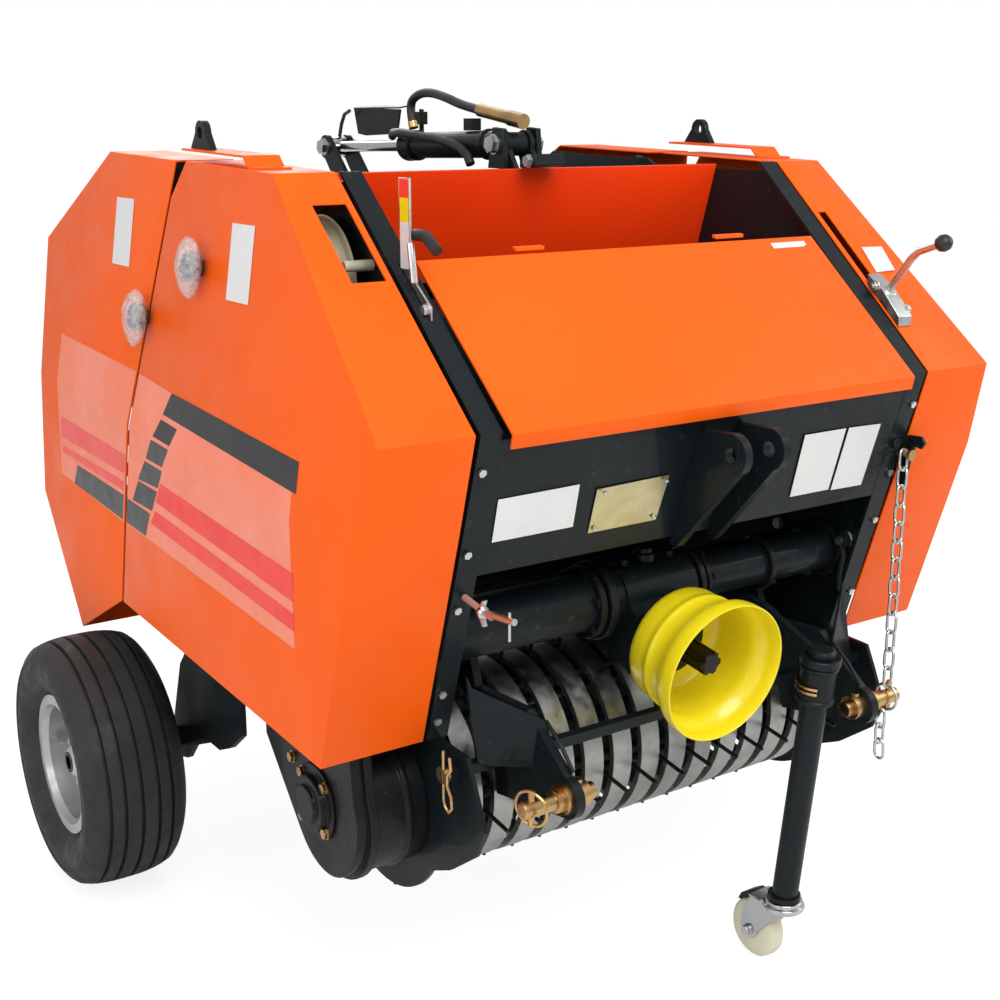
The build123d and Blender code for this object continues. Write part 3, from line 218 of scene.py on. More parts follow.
# %% Make the painted finishes
def painted(name, colour, shade, roughness, peel, coat, dust=0.0):
    """Powder coat: shade is the darker tone that clouds mix in, peel the height of the orange peel."""
    finish = Finish(name, colour, roughness, coat=coat)
    broad = finish.noise(3.5)
    clouds = finish.range(broad, 0.35, 0.7)
    tone = finish.mix(clouds * 0.55, (*colour, 1.0), (*shade, 1.0))
    speck = finish.range(finish.noise(90.0, 4.0), 0.62, 0.75)
    grey = tuple(0.35 * part + 0.12 for part in colour)
    dusty = finish.mix(speck * dust, tone, (*grey, 1.0))
    haze = finish.range(finish.noise(14.0, 5.0), 0.3, 0.8, roughness * 0.8, roughness * 1.45)
    finish.feed(finish.shader, {"Base Color": dusty, "Roughness": haze + speck * (0.3 * dust)})
    finish.feed(finish.shader, {"Specular IOR Level": 0.16})
    finish.bump(finish.noise(420.0, 2.0), 0.25, peel)
    return finish.material


orange = painted("orange powder coat", (0.97, 0.125, 0.004), (0.92, 0.105, 0.003), 0.38, 0.00025, 0.03, 0.04)
# The twine box wall is the same orange paint. Its darker, redder colours are painted shade for its forward
# face, which lies in shadow.
wall_colours_painted_shade = (1.0, 0.05, 0.003), (0.95, 0.042, 0.003)
wall_orange_painted_shade = painted("orange powder coat with painted shade", *wall_colours_painted_shade, 0.4, 0.00025, 0.03, 0.05)
slate = painted("dark slate paint", (0.007, 0.0115, 0.0135), (0.005, 0.008, 0.0095), 0.4, 0.0005, 0.15, 0.18)
black_paint = painted("black paint", (0.008, 0.009, 0.010), (0.006, 0.006, 0.007), 0.4, 0.0005, 0.15, 0.25)
print("made the paints")

# %% [markdown]
# ## Bare metals, plastic and rubber
# Yellow zinc, chrome and worn band steel differ mostly in colour and in how brushed they are, so one
# function makes them. Plastic and rubber are not metals: they have no metallic share, and rubber is rough.

# %% Make the other finishes
def metal(name, colour, roughness, stain, stain_amount, grain=260.0, grain_height=0.00015):
    """Metal with stains that are darker and rougher than the rest."""
    finish = Finish(name, colour, roughness, metallic=1.0)
    patches = finish.range(finish.noise(22.0, 6.0), 0.45, 0.68)
    tone = finish.mix(patches * stain_amount, (*colour, 1.0), (*stain, 1.0))
    dull = finish.range(finish.noise(60.0, 4.0), 0.3, 0.75, roughness * 0.75, roughness * 1.5)
    finish.feed(finish.shader, {"Base Color": tone, "Roughness": dull})
    finish.bump(finish.noise(grain, 3.0), 0.2, grain_height)
    return finish.material


def plastic(name, colour, shade, roughness, coat=0.0, grain=300.0, grain_height=0.0002):
    """Moulded plastic or rubber with soft clouds in its colour."""
    finish = Finish(name, colour, roughness, coat=coat)
    clouds = finish.range(finish.noise(9.0, 4.0), 0.4, 0.72)
    tone = finish.mix(clouds, (*colour, 1.0), (*shade, 1.0))
    dull = finish.range(finish.noise(35.0, 4.0), 0.3, 0.75, roughness * 0.8, roughness * 1.3)
    finish.feed(finish.shader, {"Base Color": tone, "Roughness": dull})
    finish.bump(finish.noise(grain, 3.0), 0.2, grain_height)
    return finish.material


yellow_zinc = metal("yellow zinc", (0.62, 0.40, 0.17), 0.26, (0.34, 0.20, 0.12), 0.6)
bright_zinc = metal("bright zinc", (0.66, 0.67, 0.66), 0.3, (0.42, 0.42, 0.42), 0.5)
chrome = metal("chrome", (0.62, 0.62, 0.63), 0.14, (0.42, 0.42, 0.43), 0.4)
shaft_black = metal("oiled shaft steel", (0.035, 0.034, 0.033), 0.38, (0.05, 0.04, 0.035), 0.5)
band_steel = metal("band steel", (0.42, 0.43, 0.41), 0.36, (0.26, 0.26, 0.24), 0.5)
rim_silver = metal("silver rim paint", (0.56, 0.56, 0.57), 0.42, (0.42, 0.42, 0.42), 0.4)
yellow = plastic("yellow shield plastic", (0.90, 0.74, 0.012), (0.85, 0.68, 0.010), 0.3, 0.3)
tyre_colours = (0.016, 0.015, 0.015), (0.028, 0.027, 0.026)
rubber = plastic("tyre rubber", *tyre_colours, 0.62, grain=180.0, grain_height=0.0006)
nylon = plastic("cream nylon", (0.76, 0.73, 0.56), (0.70, 0.66, 0.48), 0.42)
hose_black = plastic("hose rubber", (0.012, 0.012, 0.013), (0.02, 0.02, 0.021), 0.42)
print("made", len(bpy.data.materials), "materials")

# %% [markdown]
# ## Give every solid its finish
# Each solid already names a material slot, so the finish follows from the slot, with a few exceptions.

# %% Assign the finishes to the solids
finish_of_slot = {
    "steel": slate,
    "orange_paint": orange,
    "zinc": yellow_zinc,
    "chrome": chrome,
    "shaft_steel": shaft_black,
    "yellow_plastic": yellow,
    "band_steel": band_steel,
    "rim_silver": rim_silver,
    "tyre_rubber": rubber,
    "nylon": nylon,
    "white_plate": bright_zinc,
    "black_plastic": hose_black,
    "hose_rubber": hose_black,
}
# The twine box wall takes the orange that carries painted shade.
finish_of_node = {"twine_box_wall": wall_orange_painted_shade, "pickup_reel": black_paint}


def finish_for(node):
    """The finish of a solid: its own if it has one, else its slot's."""
    return finish_of_node.get(node, finish_of_slot[slot_of[node]])


for name, solid in frame["nodes"].items():
    solid.data.materials.clear()
    solid.data.materials.append(finish_for(name))
print("finished", len(frame["nodes"]), "solids")

# %% [markdown]
# ## Rounded edges
# A press brake leaves no knife edges: every fold has a small radius, and it catches the light. The solids
# have sharp ones, so each sheet or plate gets a copy whose flat faces are joined again and whose edges a
# Bevel modifier rounds. The copy stands for the solid.

# %% Copy solids with rounded edges
def tidy_mesh(mesh):
    """Joins the triangles of flat faces, so that only real edges are left to round."""
    form = bmesh.new()
    form.from_mesh(mesh)
    bmesh.ops.remove_doubles(form, verts=form.verts, dist=0.00001)
    bmesh.ops.dissolve_limit(form, angle_limit=radians(0.6), verts=form.verts, edges=form.edges)
    form.to_mesh(mesh)
    form.free()


def shade_round(mesh, angle=35.0):
    """Smooth shading that breaks at edges sharper than an angle."""
    mesh.shade_smooth()
    mesh.set_sharp_from_angle(angle=radians(angle))


def round_edges(piece, width, segments, from_angle):
    """Bevel modifier that rounds edges sharper than an angle."""
    bevel = piece.modifiers.new("edges", "BEVEL")
    bevel.width = width
    bevel.segments = segments
    bevel.limit_method = "ANGLE"
    bevel.angle_limit = radians(from_angle)
    return bevel


def rounded(node, width, segments=2):
    """Copy of a solid with its edges rounded, which stands for it."""
    mesh = frame["nodes"][node].data.copy()
    tidy_mesh(mesh)
    piece = new_object(node + "_finished", mesh)
    round_edges(piece, width, segments, 24).harden_normals = True
    mesh.shade_smooth()
    mesh.materials.clear()
    mesh.materials.append(finish_for(node))
    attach(piece, body_of[node])
    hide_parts(node)


cover_nodes = ("front_cover_left", "front_cover_right", "gate_cover_left", "gate_cover_right")
for node in cover_nodes:
    rounded(node, 1.3 * mm, 3)
for node in ("twine_box_lid", "twine_box_wall"):
    rounded(node, 1.0 * mm)
print("rounded the orange sheets")

# %% [markdown]
# ## Tools for the added pieces
# Sizes here are the machine's own millimetres. They were measured from a zero that lies 17 mm ahead of the
# origin, so one function turns such a point into a place. The other tools each add one simple form to a
# mesh: a plate, a turned form, a bent rod or a hexagon screw. A piece is then one mesh of many forms.

# %% Make the tools for pieces
ahead = 17.0
x_axis, y_axis, z_axis = Vector((1, 0, 0)), Vector((0, 1, 0)), Vector((0, 0, 1))


def at(x, y, z):
    """Place of a measured point."""
    return Vector((x, y + ahead, z)) * mm


def places(points):
    """Places of measured points."""
    return [at(*point) for point in points]


def add_plate(form, outline, depth):
    """Plate: an outline of places, thickened by the vector depth."""
    near = [form.verts.new(place) for place in outline]
    far = [form.verts.new(place + depth) for place in outline]
    form.faces.new(near)
    form.faces.new(far[::-1])
    for index, corner in enumerate(near):
        form.faces.new((near[index - 1], corner, far[index], far[index - 1]))


def add_sheet(form, x, outline, thickness):
    """Plate across X: an outline of (y, z) points at x. A negative thickness goes towards -X."""
    add_plate(form, [at(x, y, z) for y, z in outline], x_axis * (thickness * mm))


def bevelled(width, radius, edge):
    """Profile of a disc with both rims cut off by edge."""
    return ((0, radius - edge), (edge, radius), (width - edge, radius), (width, radius - edge))


def spokes(side, rise, radius, steps):
    """Arrows from a middle to the points of a circle."""
    turns = [2 * pi * step / steps for step in range(steps)]
    return [(side * cos(turn) + rise * sin(turn)) * radius * mm for turn in turns]


def skin(form, rings, closed):
    """Faces from ring to ring. They close on themselves, or else both ends get a cap."""
    for first, second in zip(rings, rings[1:] + rings[:1] if closed else rings[1:]):
        for step in range(len(first)):
            form.faces.new((first[step - 1], first[step], second[step], second[step - 1]))
    if not closed:
        form.faces.new(rings[0][::-1])
        form.faces.new(rings[-1])


def mirrored(half):
    """Second half of a profile that mirrors its first half."""
    return [(-along, radius) for along, radius in reversed(half)]


def add_turned(form, foot, axis, profile, steps=24, ring=False):
    """Turned form on an axis: the profile lists (distance along the axis, radius) in millimetres."""
    axis = axis.normalized()
    side = axis.orthogonal().normalized()
    rise = axis.cross(side)
    rings = []
    for along, radius in profile:
        middle = foot + axis * (along * mm)
        rings.append([form.verts.new(middle + spoke) for spoke in spokes(side, rise, radius, steps)])
    skin(form, rings, ring)


def add_rod(form, route, radius, steps=10, loop=False):
    """Bent rod of one radius along places. A loop joins its ends."""
    count = len(route)
    rings = []
    across = None
    for index, place in enumerate(route):
        before = route[index - 1] if index or loop else place
        after = route[(index + 1) % count] if index < count - 1 or loop else place
        ahead_way = (after - before).normalized()
        across = ahead_way.orthogonal() if across is None else across - ahead_way * across.dot(ahead_way)
        across.normalize()
        other = ahead_way.cross(across)
        rings.append([form.verts.new(place + spoke) for spoke in spokes(across, other, radius, steps)])
    skin(form, rings, loop)


def add_screw(form, seat, axis, size, washer=True, proud=0.0):
    """Hexagon head on a washer, with the thread's end standing proud if it is a nut. Size is the thread's."""
    axis = axis.normalized()
    washer_radius, washer_thick, thread_start = size * 1.05, size * 0.18, size * 0.7
    head_radius, head_height, thread_radius = size * 0.9, size * 0.6, size * 0.5
    if washer:
        add_turned(form, seat, axis, ((0, washer_radius), (washer_thick, washer_radius)), 20)
    head_foot = seat + axis * (washer_thick * mm)
    add_turned(form, head_foot, axis, ((0, head_radius), (head_height, head_radius)), 6)
    if proud:
        thread_foot = seat + axis * (thread_start * mm)
        add_turned(form, thread_foot, axis, ((0, thread_radius), (proud, thread_radius)), 12)


def circle(centre, axis, radius, steps=24):
    """Places round a circle."""
    side = axis.normalized().orthogonal().normalized()
    rise = axis.normalized().cross(side)
    return [centre + spoke for spoke in spokes(side, rise, radius, steps)]


def add_piece(name, form, finish, body, sharp=35.0, stands_for=(), edge=0.0):
    """Makes the mesh a piece that rides on a body."""
    bmesh.ops.recalc_face_normals(form, faces=form.faces)
    mesh = bpy.data.meshes.new(name)
    form.to_mesh(mesh)
    form.free()
    mesh.materials.append(finish)
    shade_round(mesh, sharp)
    piece = new_object(name, mesh)
    if edge:
        round_edges(piece, edge * mm, 2, 30)
    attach(piece, body)
    if stands_for:
        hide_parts(*stands_for)


side_of = {"left": -1.0, "right": 1.0}
print("piece tools ready")

# %% [markdown]
# ## Stripes on the folded sides
# The side sheet is upright below a crease and leans inward above it. A stripe is drawn flat, cut along the
# crease, and then each corner is pushed out to the sheet, so that it folds where the sheet folds. The same
# tables serve both sides of the machine, because the stripes are mirrored.

# %% Stick the stripes and the film on the covers
crease_front, crease_rear = (-521.0, 761.0), (566.0, 811.0)
side_half, roof_half = 520.0, 462.0
roof_front_z = 1163.0
crease_slope = (crease_rear[1] - crease_front[1]) / (crease_rear[0] - crease_front[0])


def crease_z(y):
    """Height of the crease at length y."""
    return crease_front[1] + crease_slope * (y - crease_front[0])


lean_share = (side_half - roof_half) / (roof_front_z - crease_z(-242.0))


def side_x(y, z):
    """Half width of the side sheet at a point."""
    return side_half - lean_share * max(0.0, z - crease_z(y))


def add_sticker(form, outline, side, proud):
    """Sticker on the side sheet, folded at the crease."""
    flat = bmesh.new()
    flat.faces.new([flat.verts.new((0, y, z)) for y, z in outline])
    everything = flat.verts[:] + flat.edges[:] + flat.faces[:]
    cut_normal = (0, -crease_slope, 1)
    bmesh.ops.bisect_plane(flat, geom=everything, plane_co=(0, *crease_front), plane_no=cut_normal)
    for face in flat.faces[:]:
        corners = [(side_of[side] * (side_x(v.co.y, v.co.z) + proud), v.co.y, v.co.z) for v in face.verts]
        form.faces.new([form.verts.new(at(*corner)) for corner in corners])
    flat.free()


sticker_black = plastic("black sticker", (0.012, 0.011, 0.012), (0.02, 0.018, 0.018), 0.34, 0.2)
sticker_red = plastic("red sticker", (0.94, 0.045, 0.03), (0.88, 0.036, 0.025), 0.4, 0.03)
film_red = plastic("red sticker under film", (0.92, 0.10, 0.085), (0.88, 0.08, 0.06), 0.4, 0.05)
film_orange = plastic("orange under film", (0.95, 0.23, 0.12), (0.96, 0.28, 0.19), 0.4, 0.05)
sticker_table = (
    # name, body, finish, proud in mm, outlines as (y, z) points
    ("film_front", "frame", film_orange, 0.25, (
        ((5, 861), (-372, 838), (-375, 608), (96, 630), (190, 633), (128, 870), (114, 870)),
    )),
    ("film_gate", "gate", film_orange, 0.25, (((474, 887), (140, 872), (203, 633), (493, 651)),)),
    ("bars_front", "frame", sticker_black, 0.6, (
        ((5, 861), (-383, 840), (-383, 802), (30, 828)),
        ((35, 820), (-23, 816), (-1, 789), (60, 792)),
        ((66, 786), (3, 783), (30, 753), (91, 754)),
        ((96, 749), (31, 747), (51, 718), (128, 716)),
        ((128, 713), (55, 712), (80, 678), (157, 678)),
        ((182, 675), (89, 672), (112, 633), (190, 636)),
    )),
    ("bar_gate", "gate", sticker_black, 0.6, (((405, 682), (196, 677), (207, 636), (428, 647)),)),
    ("stripes_front", "frame", sticker_red, 0.5, (
        ((40, 727), (-378, 704), (-375, 668), (62, 695)),
        ((66, 681), (-376, 653), (-377, 630), (88, 658)),
    )),
    ("stripes_gate", "gate", film_red, 0.5, (
        ((474, 751), (176, 742), (186, 712), (478, 716)),
        ((476, 702), (190, 699), (196, 684), (477, 690)),
    )),
)
for name, body, finish, proud, outlines in sticker_table:
    form = bmesh.new()
    for side in side_of:
        for outline in outlines:
            add_sticker(form, outline, side, proud)
    add_piece(name, form, finish, body)
print("stuck", len(sticker_table), "sets of stripes")

# %% [markdown]
# ## Blank plates
# The machine carries paper labels and a brass rating plate. They stay blank here: only their colour and
# their place are kept. Each plate is given by its four corners, and lies a little proud of its sheet.

# %% Stick on the blank plates
paper = plastic("white paper plate", (0.78, 0.78, 0.77), (0.70, 0.71, 0.71), 0.4, 0.15)
brass = metal("brass plate", (0.62, 0.55, 0.32), 0.34, (0.45, 0.38, 0.22), 0.4)
slope_out = Vector((0, -277.0, 315.0)).normalized()
front_out = Vector((0, -414.0, -125.0)).normalized()
plate_table = (
    # name, finish, direction it faces, four corners
    ("speed_plate", paper, front_out,
        ((-330, -531, 801), (-213, -532, 803), (-210, -515, 746), (-328, -514, 745))),
    ("rating_plate", brass, front_out,
        ((-184, -529, 792), (-70, -530, 795), (-75, -511, 733), (-183, -510, 732))),
    ("right_plate_a", paper, front_out,
        ((159, -537, 819), (237, -537, 819), (239, -509, 727), (165, -509, 727))),
    ("right_plate_b", paper, front_out,
        ((243, -537, 819), (307, -536, 817), (306, -508, 724), (245, -508, 725))),
    ("lid_plate", paper, slope_out,
        ((247, -366, 1054), (313, -366, 1054), (313, -438, 990), (243, -437, 992))),
    ("cover_plate", paper, slope_out,
        ((418, -381, 1041), (461, -381, 1040), (451, -418, 1009), (412, -418, 1008))),
)
for name, finish, out, corners in plate_table:
    form = bmesh.new()
    outline = [at(*corner) + out * (1.2 * mm) for corner in corners]
    add_plate(form, outline, out * (0.6 * mm))
    body = "lid" if name == "lid_plate" else "frame"
    add_piece(name, form, finish, body)
form_of_body = {"gate": bmesh.new(), "frame": bmesh.new()}
for side in side_of:
    for body, y0, y1, z0, z1 in (("gate", 269, 200, 1113, 1016), ("frame", -143, -209, 1099, 1003)):
        add_sticker(form_of_body[body], ((y0, z0), (y1, z0), (y1, z1), (y0, z1)), side, 0.6)
for body, form in form_of_body.items():
    add_piece(f"side_plates_{body}", form, paper, body)
print("stuck on", len(plate_table) + 4, "blank plates")

# %% [markdown]
# ## Tyres with ribs
# An implement tyre has plain ribs round it, parted by grooves. The cross-section is drawn once, as distance
# across the tyre and radius, and turned round the axle. The grooves are cut 7 mm deep, and the shoulder
# carries a thin raised ring, as moulded tyres do.

# %% Turn the ribbed tyres
tyre_middle, wheel_y, wheel_z = 545.0, 335.0, 205.0
rib_grooves = (-50.0, -27.0, 0.0, 27.0, 50.0)
groove_half, groove_deep = 3.2, 7.0


def tread_radius(across):
    """Radius of the tread at a distance from the tyre's middle."""
    return 204.6 - 9.0 * (abs(across) / 66.0) ** 3


floor_half_width = groove_half * 0.6
groove_steps = (
    # distance from the groove's middle, depth
    (-groove_half, 0.0),
    (-floor_half_width, groove_deep),
    (floor_half_width, groove_deep),
    (groove_half, 0.0),
)
tread = []
for groove in rib_grooves:
    for step, deep in groove_steps:
        tread.append((groove + step, tread_radius(groove + step) - deep))
tyre_side = [
    (-56.0, 102.0), (-57.0, 116.0), (-72.0, 132.0), (-80.0, 150.0), (-82.0, 158.0), (-80.0, 172.0),
    (-82.2, 174.0), (-79.0, 180.0), (-73.0, 189.0), (-66.0, tread_radius(66.0)),
]
tyre_profile = tyre_side + tread + mirrored(tyre_side)
for side, sign in side_of.items():
    form = bmesh.new()
    add_turned(form, at(sign * tyre_middle, wheel_y, wheel_z), x_axis, tyre_profile, 96, ring=True)
    stands_for = (f"wheel_tyre_{side}",)
    add_piece(f"ribbed_tyre_{side}", form, rubber, f"wheel_{side}", 28.0, stands_for)
print("turned the tyres with", len(rib_grooves), "grooves each")

# %% [markdown]
# ## Wheel hubs
# The rim's dish is bolted to the hub with five nuts. A dust cap closes the hub, and a valve stem stands in
# the dish.

# %% Add nuts, caps and valves to the wheels
for side, sign in side_of.items():
    form = bmesh.new()
    hub = at(sign * (tyre_middle + 32.0), wheel_y, wheel_z)
    out = x_axis * sign
    add_turned(form, hub, out, ((0, 27.0), (10.0, 26.0), (16.0, 20.0), (18.0, 12.0)), 28)
    for place in circle(at(sign * (tyre_middle + 18.0), wheel_y, wheel_z), out, 58.0, 5):
        add_screw(form, place, out, 11.0, proud=5.0)
    valve = ((12.0, 76.0), (38.0, 80.0))
    add_rod(form, [at(sign * (tyre_middle + x), wheel_y + y, wheel_z) for x, y in valve], 4.0)
    add_piece(f"wheel_nuts_{side}", form, bright_zinc, f"wheel_{side}")
print("added the wheel nuts")

# %% [markdown]
# ## Shield and splined shaft
# The guard is blow-moulded: its shoulder is rounded, a bead runs round its middle and its mouth flares. A
# tractor's shaft coupling needs six splines, so the shaft gets them where it shows.

# %% Turn the shield and mill the splines
shaft_tip = at(0, -547.0, 530.0)
shaft_way = Vector((0, -cos(radians(8.0)), -sin(radians(8.0))))
gearbox_face_y = -457.0
shaft_run = (547.0 + gearbox_face_y) / cos(radians(8.0))
gearbox_face = shaft_tip - shaft_way * (shaft_run * mm)
shield_profile = [
    (9.0, 47.0), (9.2, 62.0), (11.0, 73.0), (16.0, 79.5), (24.0, 82.0), (40.0, 82.3), (50.0, 82.6),
    (52.0, 84.4), (56.0, 84.4), (58.0, 82.8), (74.0, 83.6), (82.0, 86.0), (90.0, 92.0), (97.0, 96.2),
    (104.0, 97.4), (117.0, 97.8), (119.6, 97.2), (120.0, 95.8), (118.0, 94.6), (104.0, 93.9), (98.0, 92.6),
    (92.0, 88.8), (84.0, 82.8),
    (74.0, 80.4), (24.0, 78.6), (17.0, 76.4), (13.5, 71.0), (12.5, 62.0), (12.5, 47.0),
]
form = bmesh.new()
add_turned(form, gearbox_face, shaft_way, shield_profile, 96, ring=True)
add_piece("moulded_shield", form, yellow, "frame", 50.0, ("pto_shield",))

spline_form = bmesh.new()
spline_count, spline_outer, spline_root = 6, 17.3, 14.4
rise = shaft_way.cross(x_axis)
outline = []
for tooth in range(spline_count):
    for turn, radius in ((-17, spline_root), (-13, spline_outer), (13, spline_outer), (17, spline_root)):
        angle = radians(tooth * 360.0 / spline_count + turn)
        outline.append((x_axis * cos(angle) + rise * sin(angle)) * radius * mm)
spline_start = gearbox_face + shaft_way * (21.0 * mm)
add_plate(spline_form, [spline_start + corner for corner in outline], shaft_way * ((shaft_run - 23.0) * mm))
add_turned(spline_form, gearbox_face - shaft_way * (24.0 * mm), shaft_way, ((0, 17.3), (60.0, 17.3)), 32)
add_turned(spline_form, shaft_tip - shaft_way * (2.5 * mm), shaft_way, ((0, 13.8), (2.4, 12.4)), 32)
add_piece("splined_shaft", spline_form, shaft_black, "shaft", 30.0, ("pto_shaft",))
print("turned the shield and cut", spline_count, "splines")

# %% [markdown]
# ## Hitch pins, clips and rings
# Each yellow zinc pin has a groove, a collar with a set screw and a lynch pin with its spring ring. The tie
# bar is kept in place by an R-shaped spring clip at its left end.

# %% Bend the clips and rings
pin_place = (-579.0, 424.0)
for side, sign in side_of.items():
    form = bmesh.new()
    out = x_axis * sign
    tip = at(sign * 326.0, *pin_place)
    add_turned(form, tip, out, ((-0.2, 10.8), (2.0, 8.6)), 28)
    lynch = [(sign * 314.0, pin_place[0], pin_place[1] + rise) for rise in (-22.0, 24.0)]
    add_rod(form, places(lynch), 4.2)
    if side == "left":
        ring_centre = at(-316.0, pin_place[0] - 3.0, pin_place[1] + 2.0)
        add_rod(form, circle(ring_centre, Vector((1.0, 0.35, 0.1)), 23.0, 36), 2.2, loop=True)
    add_screw(form, at(sign * 244.0, pin_place[0], pin_place[1] + 15.5), z_axis, 7.0, washer=False)
    add_turned(form, at(sign * 272.5, *pin_place), out, ((0, 15.0), (9.0, 15.0), (9.6, 14.0)), 28)
    add_piece(f"lynch_pin_{side}", form, yellow_zinc, "frame")

form = bmesh.new()
tie = (-480.0, 446.0)
clip_x = -378.0
clip_bends = (
    (-3, 34), (-3, -30), (-6, -40), (-15, -44), (-22, -36), (-20, -22), (-11, -10), (-12, 4), (-20, 14),
    (-17, 30),
)
add_rod(form, [at(clip_x, tie[0] + y, tie[1] + z) for y, z in clip_bends], 2.2)
add_turned(form, at(-372.0, *tie), -x_axis, ((0, 11.0), (8.0, 11.0)), 24)
add_piece("spring_clip", form, yellow_zinc, "frame", 50.0)
print("bent the clips")

# %% [markdown]
# ## Chain
# The chain is welded from round wire, so its links are loops of rod and not flat plates. Each link is turned
# a quarter from the one before it. The hitch pin's ring hangs on the lowest link, and three spare links hang
# below the pin.

# %% Weld the chain
chain_top, chain_foot = at(365.4, -532.2, 770.2), at(310.0, -579.0, 440.6)
chain_links, link_width, wire = 13, 20.0, 2.2
spare_links = ((292.0, 398.0), (292.5, 374.0), (294.0, 350.0))
chain_down = (chain_foot - chain_top).normalized()
chain_pitch = (chain_foot - chain_top).length / chain_links
across_chain = (y_axis - chain_down * chain_down.y).normalized()


def add_link(form, centre, down, facing, reach):
    """Chain link: a rod loop with two straight sides and two round ends."""
    wide = down.cross(facing).normalized()
    bend = link_width / 2 - wire
    straight = reach / 2 - bend
    route = []
    for end in (1, -1):
        for step in range(7):
            turn = radians(-90 + 30 * step)
            along, aside = end * (straight + bend * cos(turn)), end * bend * sin(turn)
            route.append(centre + (down * along + wide * aside) * mm)
    add_rod(form, route, wire, 8, loop=True)


form = bmesh.new()
reach = chain_pitch / mm + 2 * wire
for index in range(chain_links):
    facing = across_chain if index % 2 == 0 else chain_down.cross(across_chain)
    add_link(form, chain_top + chain_down * (chain_pitch * (index + 0.5)), chain_down, facing, reach)
for index, (x, z) in enumerate(spare_links):
    add_link(form, at(x, -586.0, z), Vector((0.06, 0.0, -1.0)), y_axis if index % 2 else x_axis, reach)
add_rod(form, circle(at(310.0, *pin_place), x_axis, 19.0, 32), wire, loop=True)
add_piece("welded_chain", form, bright_zinc, "frame", 60.0, ("pin_chain",))

form = bmesh.new()
hook_outline = [
    (-518, 790), (-552, 792), (-559, 783), (-553, 774), (-541, 776), (-533, 748), (-526, 712), (-517, 712),
    (-516, 750),
]
add_sheet(form, 376.0, hook_outline, 5.0)
hook_foot = ((344, -522, 790), (381, -522, 790), (381, -517, 772), (344, -517, 772))
add_plate(form, places(hook_foot), Vector((0, -4.0, 0)) * mm)
add_screw(form, at(352.0, -524, 781), -y_axis, 9.0)
add_piece("chain_hook_plate", form, slate, "frame", edge=0.8)
print("welded", chain_links + len(spare_links), "links")

# %% [markdown]
# ## Dark sheet behind the reel
# The photo shows dark between the bands, but not what makes it dark. This curved black sheet behind the reel
# is a guess at
# it: it paints that dark in as shade, where the real machine may have no sheet. It stays clear of the tines'
# tips.

# %% Roll the black sheet that paints the shade behind the reel
reel_axis = (-290.0, 362.0)
sheet_radius, sheet_thick, sheet_half = 204.0, 2.5, 322.0
sheet_turns = [radians(angle) for angle in range(-62, 1, 6)]


def on_circle(centre, radius, turns):
    """Points (y, z) on a circle at the given turns."""
    return [(centre[0] + radius * cos(turn), centre[1] + radius * sin(turn)) for turn in turns]


form = bmesh.new()
near = on_circle(reel_axis, sheet_radius, sheet_turns) + [(-12.0, 436.0)]
far = [(y + sheet_thick, z - sheet_thick / 2) for y, z in near]
add_sheet(form, -sheet_half, near + far[::-1], 2 * sheet_half)
add_piece("painted_shade_sheet", form, black_paint, "frame")
print("rolled the painted shade sheet")

# %% [markdown]
# ## Drive case
# The case is pressed: its lower end is round about the reel's axis, with a raised lip, and the bearing
# housing and the shaft's cap stand on it. Four yellow zinc screws hold the housing, and two the case.

# %% Round the drive case
case_axis = (-316.0, 357.0)
case_round = 100.0
case_arc = [radians(angle) for angle in range(-42, -213, -9)]
case_outline = [(-135.0, 515.0), (-135.0, 405.0)]
case_outline += on_circle(case_axis, case_round, case_arc) + [(-400.0, 452.0), (-400.0, 515.0)]
inner_share = 0.93
inner_outline = []
for corner in case_outline:
    inner_outline.append([middle + (part - middle) * inner_share for part, middle in zip(corner, case_axis)])
frame_face_x, lip_x, case_face_x = -356.6, -444.0, -460.0
body_profile = ((0, 94.0), (22.0, 94.0), (24.0, 97.0), (30.0, 97.0), (32.0, 94.0), (88.0, 94.0))
cap_profile = ((0, 52.0), (4.0, 52.0), (5.0, 40.0), (14.0, 38.0), (15.0, 27.0), (20.0, 26.0), (21.0, 14.0))
form = bmesh.new()
add_sheet(form, lip_x, case_outline, 12.0)
add_sheet(form, case_face_x, inner_outline, 20.0)
add_turned(form, at(frame_face_x, *case_axis), -x_axis, body_profile, 64)
case_face = at(case_face_x, -300.0, 360.0)
add_turned(form, case_face, -x_axis, cap_profile, 48)
add_piece("rounded_drive_case", form, black_paint, "frame", 40.0, ("drive_case",), edge=1.2)
form = bmesh.new()
for place in circle(case_face - x_axis * (4.0 * mm), -x_axis, 45.0, 4):
    add_screw(form, place, -x_axis, 8.0)
for y, z in ((-232.0, 398.0), (-180.0, 452.0)):
    add_screw(form, at(-460.2, y, z), -x_axis, 8.0)
add_piece("drive_case_screws", form, yellow_zinc, "frame")
print("rounded the drive case")

# %% [markdown]
# ## Cross drive and hitch plates
# The left tube is bolted to the gearbox by a wide flange, and narrower collars join the right one. A plate on
# each side ties the hitch arm to the frame's flange. Bolt heads stand wherever two plates meet.

